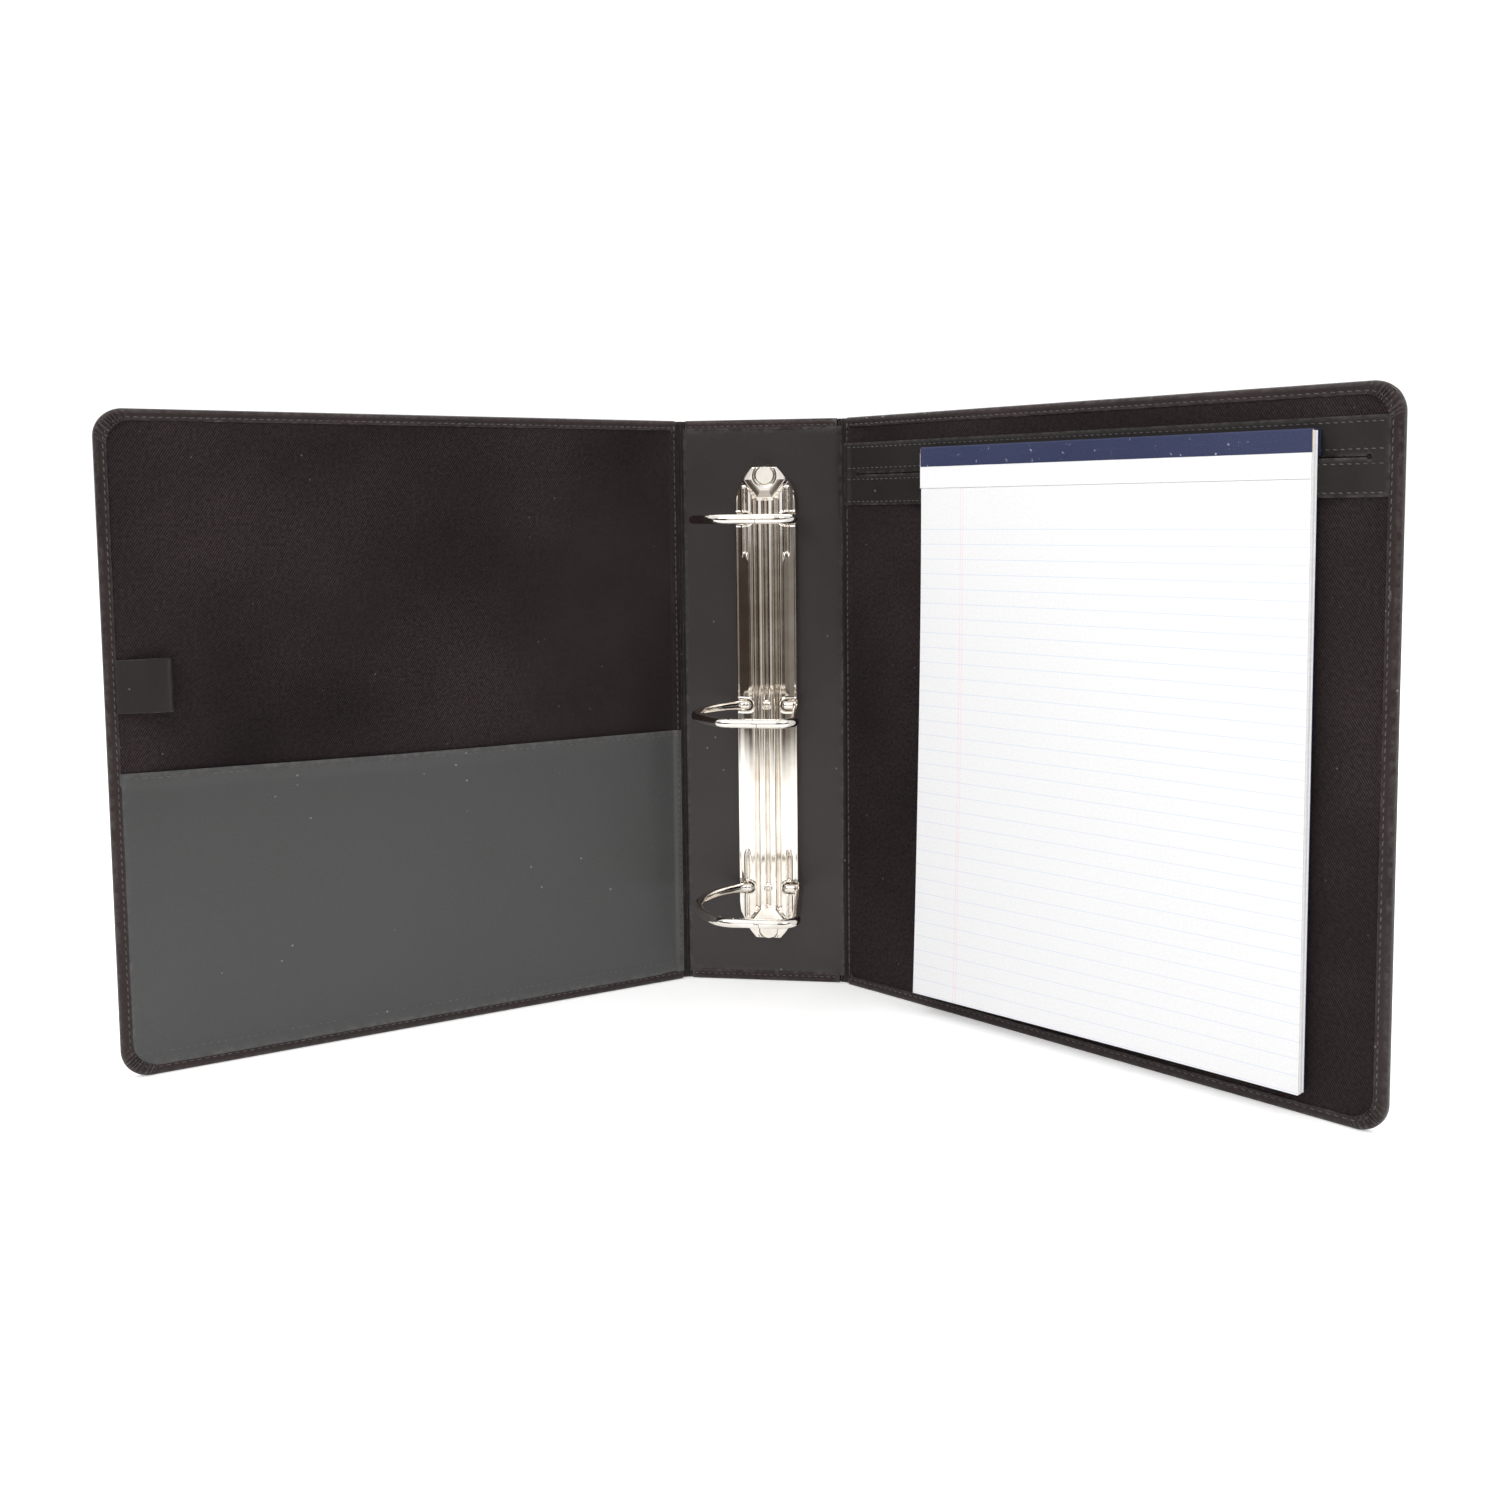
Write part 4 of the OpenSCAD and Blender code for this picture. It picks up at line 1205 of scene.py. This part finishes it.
@dataclass
class RingPlate:
    """The pressed nickel plate: a ribbed section, tapered ends with bosses, notches and slots."""

    place_x: float = 3.2
    base_y: float = -2.3
    z0: float = 28.0
    z1: float = 304.0
    ring_zs: tuple[float, ...] = (58.05, 166.0, 273.95)
    slot_levels: tuple[int, ...] = (0, 2)
    root_x: float = 11.3
    notch_r: float = 3.2
    boss_h: float = 9.4
    rivet_end: float = 5.4
    recess_r: float = 5.7

    def half_width(self, end: Array) -> Array:
        """Half the plate's width at a distance from its nearer end: straight tapers between shoulders."""
        return np.interp(end, [0, 7.8, 15, 21], [7.2, 14.0, 17.3, 18.0])

    def section(self, x: Array) -> Array:
        """Height over the liner along the middle of the plate: its section, softened by a short bell."""
        knots = [
            0, 0.5, 1.1, 2.0, 3.0, 4.3, 5.0, 5.5, 6.3, 6.9, 7.5, 8.3, 10.5, 13.5, 16.2, 16.9, 17.6, 18.4
        ]
        heights = [
            5.9, 6.2, 8.1, 8.4, 8.4, 8.35, 7.8, 5.6, 5.2, 5.6, 7.0, 7.25, 7.15, 6.65, 5.95, 6.25, 6.2, 5.6
        ]
        t = np.arange(0, 19, 0.05)
        bell = bump(np.arange(-20, 21) * 0.05 / 0.2)
        soft = np.convolve(
            np.pad(np.interp(t, knots, heights), 20, mode="edge"), bell / bell.sum(), mode="valid"
        )
        return np.interp(np.abs(x), t, soft)

    def boss(self, x: Array, end: Array, height: Array) -> Array:
        """Raises the six-sided boss: full height inside its outline, a short slope to the plate around it."""
        corners = np.array([[7.2, -3.0], [14.0, 7.8], [5.0, 19.7], [0.0, 19.7]])
        inside = np.full(x.shape, 99.0)
        for a, b in zip(corners[:-1], corners[1:]):
            run = (b - a) / np.linalg.norm(b - a)
            inside = np.minimum(inside, (a[0] - np.abs(x)) * run[1] - (a[1] - end) * run[0])
        raised = height + (self.boss_h + 0.25 * smooth(inside / 6) - height) * smooth(inside / 1.7)
        away = np.hypot(x, end - self.rivet_end)
        step = 1.5 * smooth((self.recess_r - away) / 0.6) + 0.25 * bump((away - self.recess_r - 0.5) / 0.5)
        return raised - step * (end < 20)

    def pressings(self, x: Array, z: Array, height: Array) -> Array:
        """Cuts the ring notches and slots and raises the nubs, each from the distance to its middle line."""
        ax = np.abs(x)
        for n, level in enumerate(self.ring_zs):
            dz = z - level
            to_notch = np.where(ax > self.root_x, np.abs(dz), np.hypot(ax - self.root_x, dz))
            height = height + 0.35 * bump((to_notch - self.notch_r - 0.7) / 0.5)
            height = height - (height - 3.1) * smooth((self.notch_r - to_notch) / 0.45)
            height = height + 1.3 * np.sqrt(np.clip(1 - (x**2 + dz**2) / 2.3**2, 0, None))
            if n in self.slot_levels:
                for low, high in ((5.0, 17.0), (-19.0, -5.0)):
                    low, high = (-high, -low) if n == 0 else (low, high)
                    away = np.hypot(ax - 12.2, dz - np.clip(dz, low, high))
                    height = height + 0.55 * bump((away - 1.25) / 0.55) - 2.6 * smooth((0.85 - away) / 0.3)
        return height

    def build(self) -> None:
        """The plate's net: x as a share of its half width, rows closer at the ends and the rings."""
        edge = np.array([0.0, 0.02, 0.08, 0.2, 0.4, 0.7, 1.1])
        share = np.concatenate([edge / 18, np.linspace(1.5 / 18, 1, 54)])
        u = np.concatenate([share - 1, (1 - share[:-1])[::-1]])
        close = [np.arange(self.z0 + 0.4, self.z0 + 22, 0.45), np.arange(self.z1 - 22, self.z1 - 0.3, 0.45)]
        close += [np.arange(level - 20, level + 20, 0.45) for level in self.ring_zs]
        z = np.unique(np.round(np.concatenate([np.arange(self.z0 + 1, self.z1, 3.0), *close,
                                               self.z0 + edge, self.z1 - edge]), 2))
        z = z[np.concatenate([[True], np.diff(z) > 0.018])]
        zz, uu = np.meshgrid(z, u, indexing="ij")
        end = np.minimum(zz - self.z0, self.z1 - zz)
        wide = self.half_width(end)
        x = uu * wide
        height = self.pressings(x, zz, self.boss(x, end, self.section(x)))
        rim = np.minimum((1 - np.abs(uu)) * wide, end) / 1.1
        height = 0.2 + (height - 0.2) * np.sqrt(np.clip(1 - (1 - np.clip(rim, 0, 1)) ** 2, 0, 1)) ** 0.6
        top = net(self.place_x + x, self.base_y - height, zz)
        under = top[:, ::-1][:, [0, len(u) // 2, -1]].copy()
        under[:, :, 1] = self.base_y - 0.1
        rows = np.concatenate([top, under], 1)
        ends = [np.array([self.place_x, self.base_y - 0.15, level]) for level in (self.z0, self.z1)]
        first, last = (np.broadcast_to(end, rows[:1].shape) for end in ends)
        rows = np.concatenate([first, rows, last])
        piece(
            "ring_plate_pressed", Shape.grid(rows, loop_cols=True), Place(), NICKEL, "spine", sharp=75,
            replaces=("ring_plate",)
        )
        rows = [[[x, y, z] for x, y in ((-2, -1), (2, -1), (2, 1), (-2, 1))] for z in (0, 0.01, 1.6, 1.9)]
        narrow = np.array([1.0, 1, 1, 0.8])[:, None, None]
        tab = np.array(rows) * narrow + [self.place_x + 0.5, self.base_y - 5.8, self.z1 - 0.6]
        piece("ring_plate_tab", Shape.grid(tab, loop_cols=True), Place(), DARK_STEEL, "spine", 0.3)


@dataclass
class RingMechanism:
    """The ring mechanism: its plate is made here, and the exact wires, rivets and carriers are dressed."""

    plate: RingPlate = field(default_factory=RingPlate)
    metal: tuple[str, ...] = ("ring_rivets", "left_ring_carrier", "right_ring_carrier")
    levels: tuple[str, ...] = ("top", "middle", "bottom")

    def build(self) -> None:
        """Builds the plate and gives each metal node its finish."""
        self.plate.build()
        for name in self.metal:
            dress(name, NICKEL)
        for side in Side:
            for level in self.levels:
                dress(f"{side.value}_ring_{level}", NICKEL_WIRE)


def dress(node: str, finish: Finish) -> None:
    """Gives a carried-over node a finish, in every one of its slots."""
    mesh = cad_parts[node].data
    mesh.materials.clear()
    mesh.materials.append(finish.material())
    LOG.info("%s: %s", node, finish.name)


# ---- Studio ----


@dataclass
class Studio:
    """Pale floor, soft light all round and the camera.

    The floor and the surround carry a dark front with one bright strip, which polished metal reflects.
    """

    eye: tuple[float, float, float] = (0.114653, -0.865567, 0.277087)
    turn_deg: tuple[float, float, float] = (85.244, 0.628, 8.485)
    lens: float = 35.927
    shift: tuple[float, float] = (0.0086, -0.0744)
    floor_half: float = 40.0
    floor_glow: float = 0.34
    strip_at: float = -0.127

    def across(self, board: Board, parts: Node) -> tuple[Socket, Socket]:
        """How far a direction lies to the side, x over minus y, and its distance from the bright strip."""
        ratio = board.math("DIVIDE", parts.outputs[0], board.times(parts.outputs[1], -1.0))
        return ratio, board.math("ABSOLUTE", board.math("ADD", ratio, -self.strip_at))

    def build_floor(self) -> None:
        """A wide pale floor just below the case; only reflections see its dark front and bright strip."""
        mesh = bpy.data.meshes.new("studio_floor")
        h = self.floor_half
        mesh.from_pydata([(-h, -h, 0), (h, -h, 0), (h, h, 0), (-h, h, 0)], [], [(0, 1, 2, 3)])
        floor = placed("studio_floor", mesh)
        pale = Finish("studio_floor", "", (0.86, 0.86, 0.86, 1), (0.9, 0.9, 0.9, 1), 0.9, 0.1).material()
        shader = next(n for n in pale.node_tree.nodes if n.type == "BSDF_PRINCIPLED")
        shader.inputs["Emission Color"].default_value = (1, 1, 1, 1)
        shader.inputs["Emission Strength"].default_value = self.floor_glow
        board = Board(pale.node_tree, clear=False)
        parts = board.add("SeparateXYZ", Vector=board.add("TexCoord").outputs["Object"])
        ahead = board.span(parts.outputs[1], -0.62, -0.95)
        mirrored = board.times(ahead, board.add("LightPath").outputs["Is Glossy Ray"])
        ratio, from_strip = self.across(board, parts)
        strip = board.span(from_strip, 0.05, 0.11, 1.0, 0.0)
        side = board.span(ratio, 0.02, 0.3, 0.0, 0.35)
        shade = board.mix(
            board.math("MAXIMUM", strip, side), (0.055, 0.042, 0.034, 1), (0.62, 0.58, 0.53, 1)
        )
        dark = board.add("Emission", Color=shade, Strength=1.0)
        both = board.add("MixShader", i0=mirrored, i1=shader.outputs[0], i2=dark.outputs[0])
        out = next(n for n in pale.node_tree.nodes if n.type == "OUTPUT_MATERIAL")
        pale.node_tree.links.new(both.outputs[0], out.inputs[0])
        floor.data.materials.append(pale)

    def build_lights(self) -> None:
        """A bright even surround, dark at its low front to all but the camera, and three soft panels."""
        world = bpy.data.worlds.new("studio")
        bpy.context.scene.world = world
        world.use_nodes = True
        board = Board(world.node_tree)
        where = board.add("TexCoord")
        parts = board.add("SeparateXYZ", Vector=where.outputs["Generated"])
        front = board.span(parts.outputs[1], -0.55, -0.1, 1.0, 0.0)
        low = board.span(parts.outputs[2], 0.3, 0.6, 1.0, 0.0)
        beside = board.span(self.across(board, parts)[1], 0.1, 0.2)
        seen = board.times(
            beside, board.math("SUBTRACT", 1.0, board.add("LightPath").outputs["Is Camera Ray"])
        )
        shade = board.mix(
            board.times(board.times(front, low), seen), (1.0, 1.0, 1.0, 1), (0.09, 0.07, 0.058, 1)
        )
        light = board.add("Background", Color=shade, Strength=1.12)
        out = board.add("OutputWorld")
        world.node_tree.links.new(light.outputs[0], out.inputs[0])
        for name, at, aim, size, power in (
            ("key_panel", (-0.9, -1.6, 1.9), (0, -0.1, 0.15), 1.4, 22.0),
            ("fill_panel", (1.3, -1.5, 1.4), (0, -0.1, 0.15), 1.0, 6.0),
            ("back_panel", (0.0, 1.8, 2.2), (0, 0, 0.1), 2.0, 20.0),
        ):
            data = bpy.data.lights.new(name, "AREA")
            data.size, data.energy = size, power
            lamp = placed(name, data)
            turn = (Vector(aim) - Vector(at)).to_track_quat("-Z", "Y")
            lamp.matrix_world = Matrix.Translation(at) @ turn.to_matrix().to_4x4()

    def build_camera(self) -> None:
        """The camera, with the tone curve left plain so that whites stay white."""
        data = bpy.data.cameras.new("camera")
        data.sensor_width, data.lens = 36.0, self.lens
        data.shift_x, data.shift_y = self.shift
        data.dof.use_dof = False
        camera = placed("camera", data)
        turn = Euler([math.radians(a) for a in self.turn_deg], "XYZ")
        camera.matrix_world = Matrix.Translation(self.eye) @ turn.to_matrix().to_4x4()
        bpy.context.scene.camera = camera
        bpy.context.scene.view_settings.view_transform = "Standard"

    def build(self) -> None:
        """Builds the studio."""
        self.build_camera()
        self.build_floor()
        self.build_lights()


def main() -> None:
    """Builds the studio and every piece of the case in order."""
    logging.basicConfig(level=logging.INFO, format="%(message)s")
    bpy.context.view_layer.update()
    Studio().build()
    left = LeftCover(Side.LEFT, Place(-47.5, 38.0, True))
    right = RightCover(Side.RIGHT, Place(47.5, -37.0, False))
    left.build()
    right.build()
    Spine().build([left, right])
    Pad(right.place).build()
    RingMechanism().build()
    for part in ("spine", "left_cover", "right_cover"):
        dress(f"{part}_board", BOARD)
        dress(f"{part}_foam", FOAM)


if __name__ == "__main__":
    main()
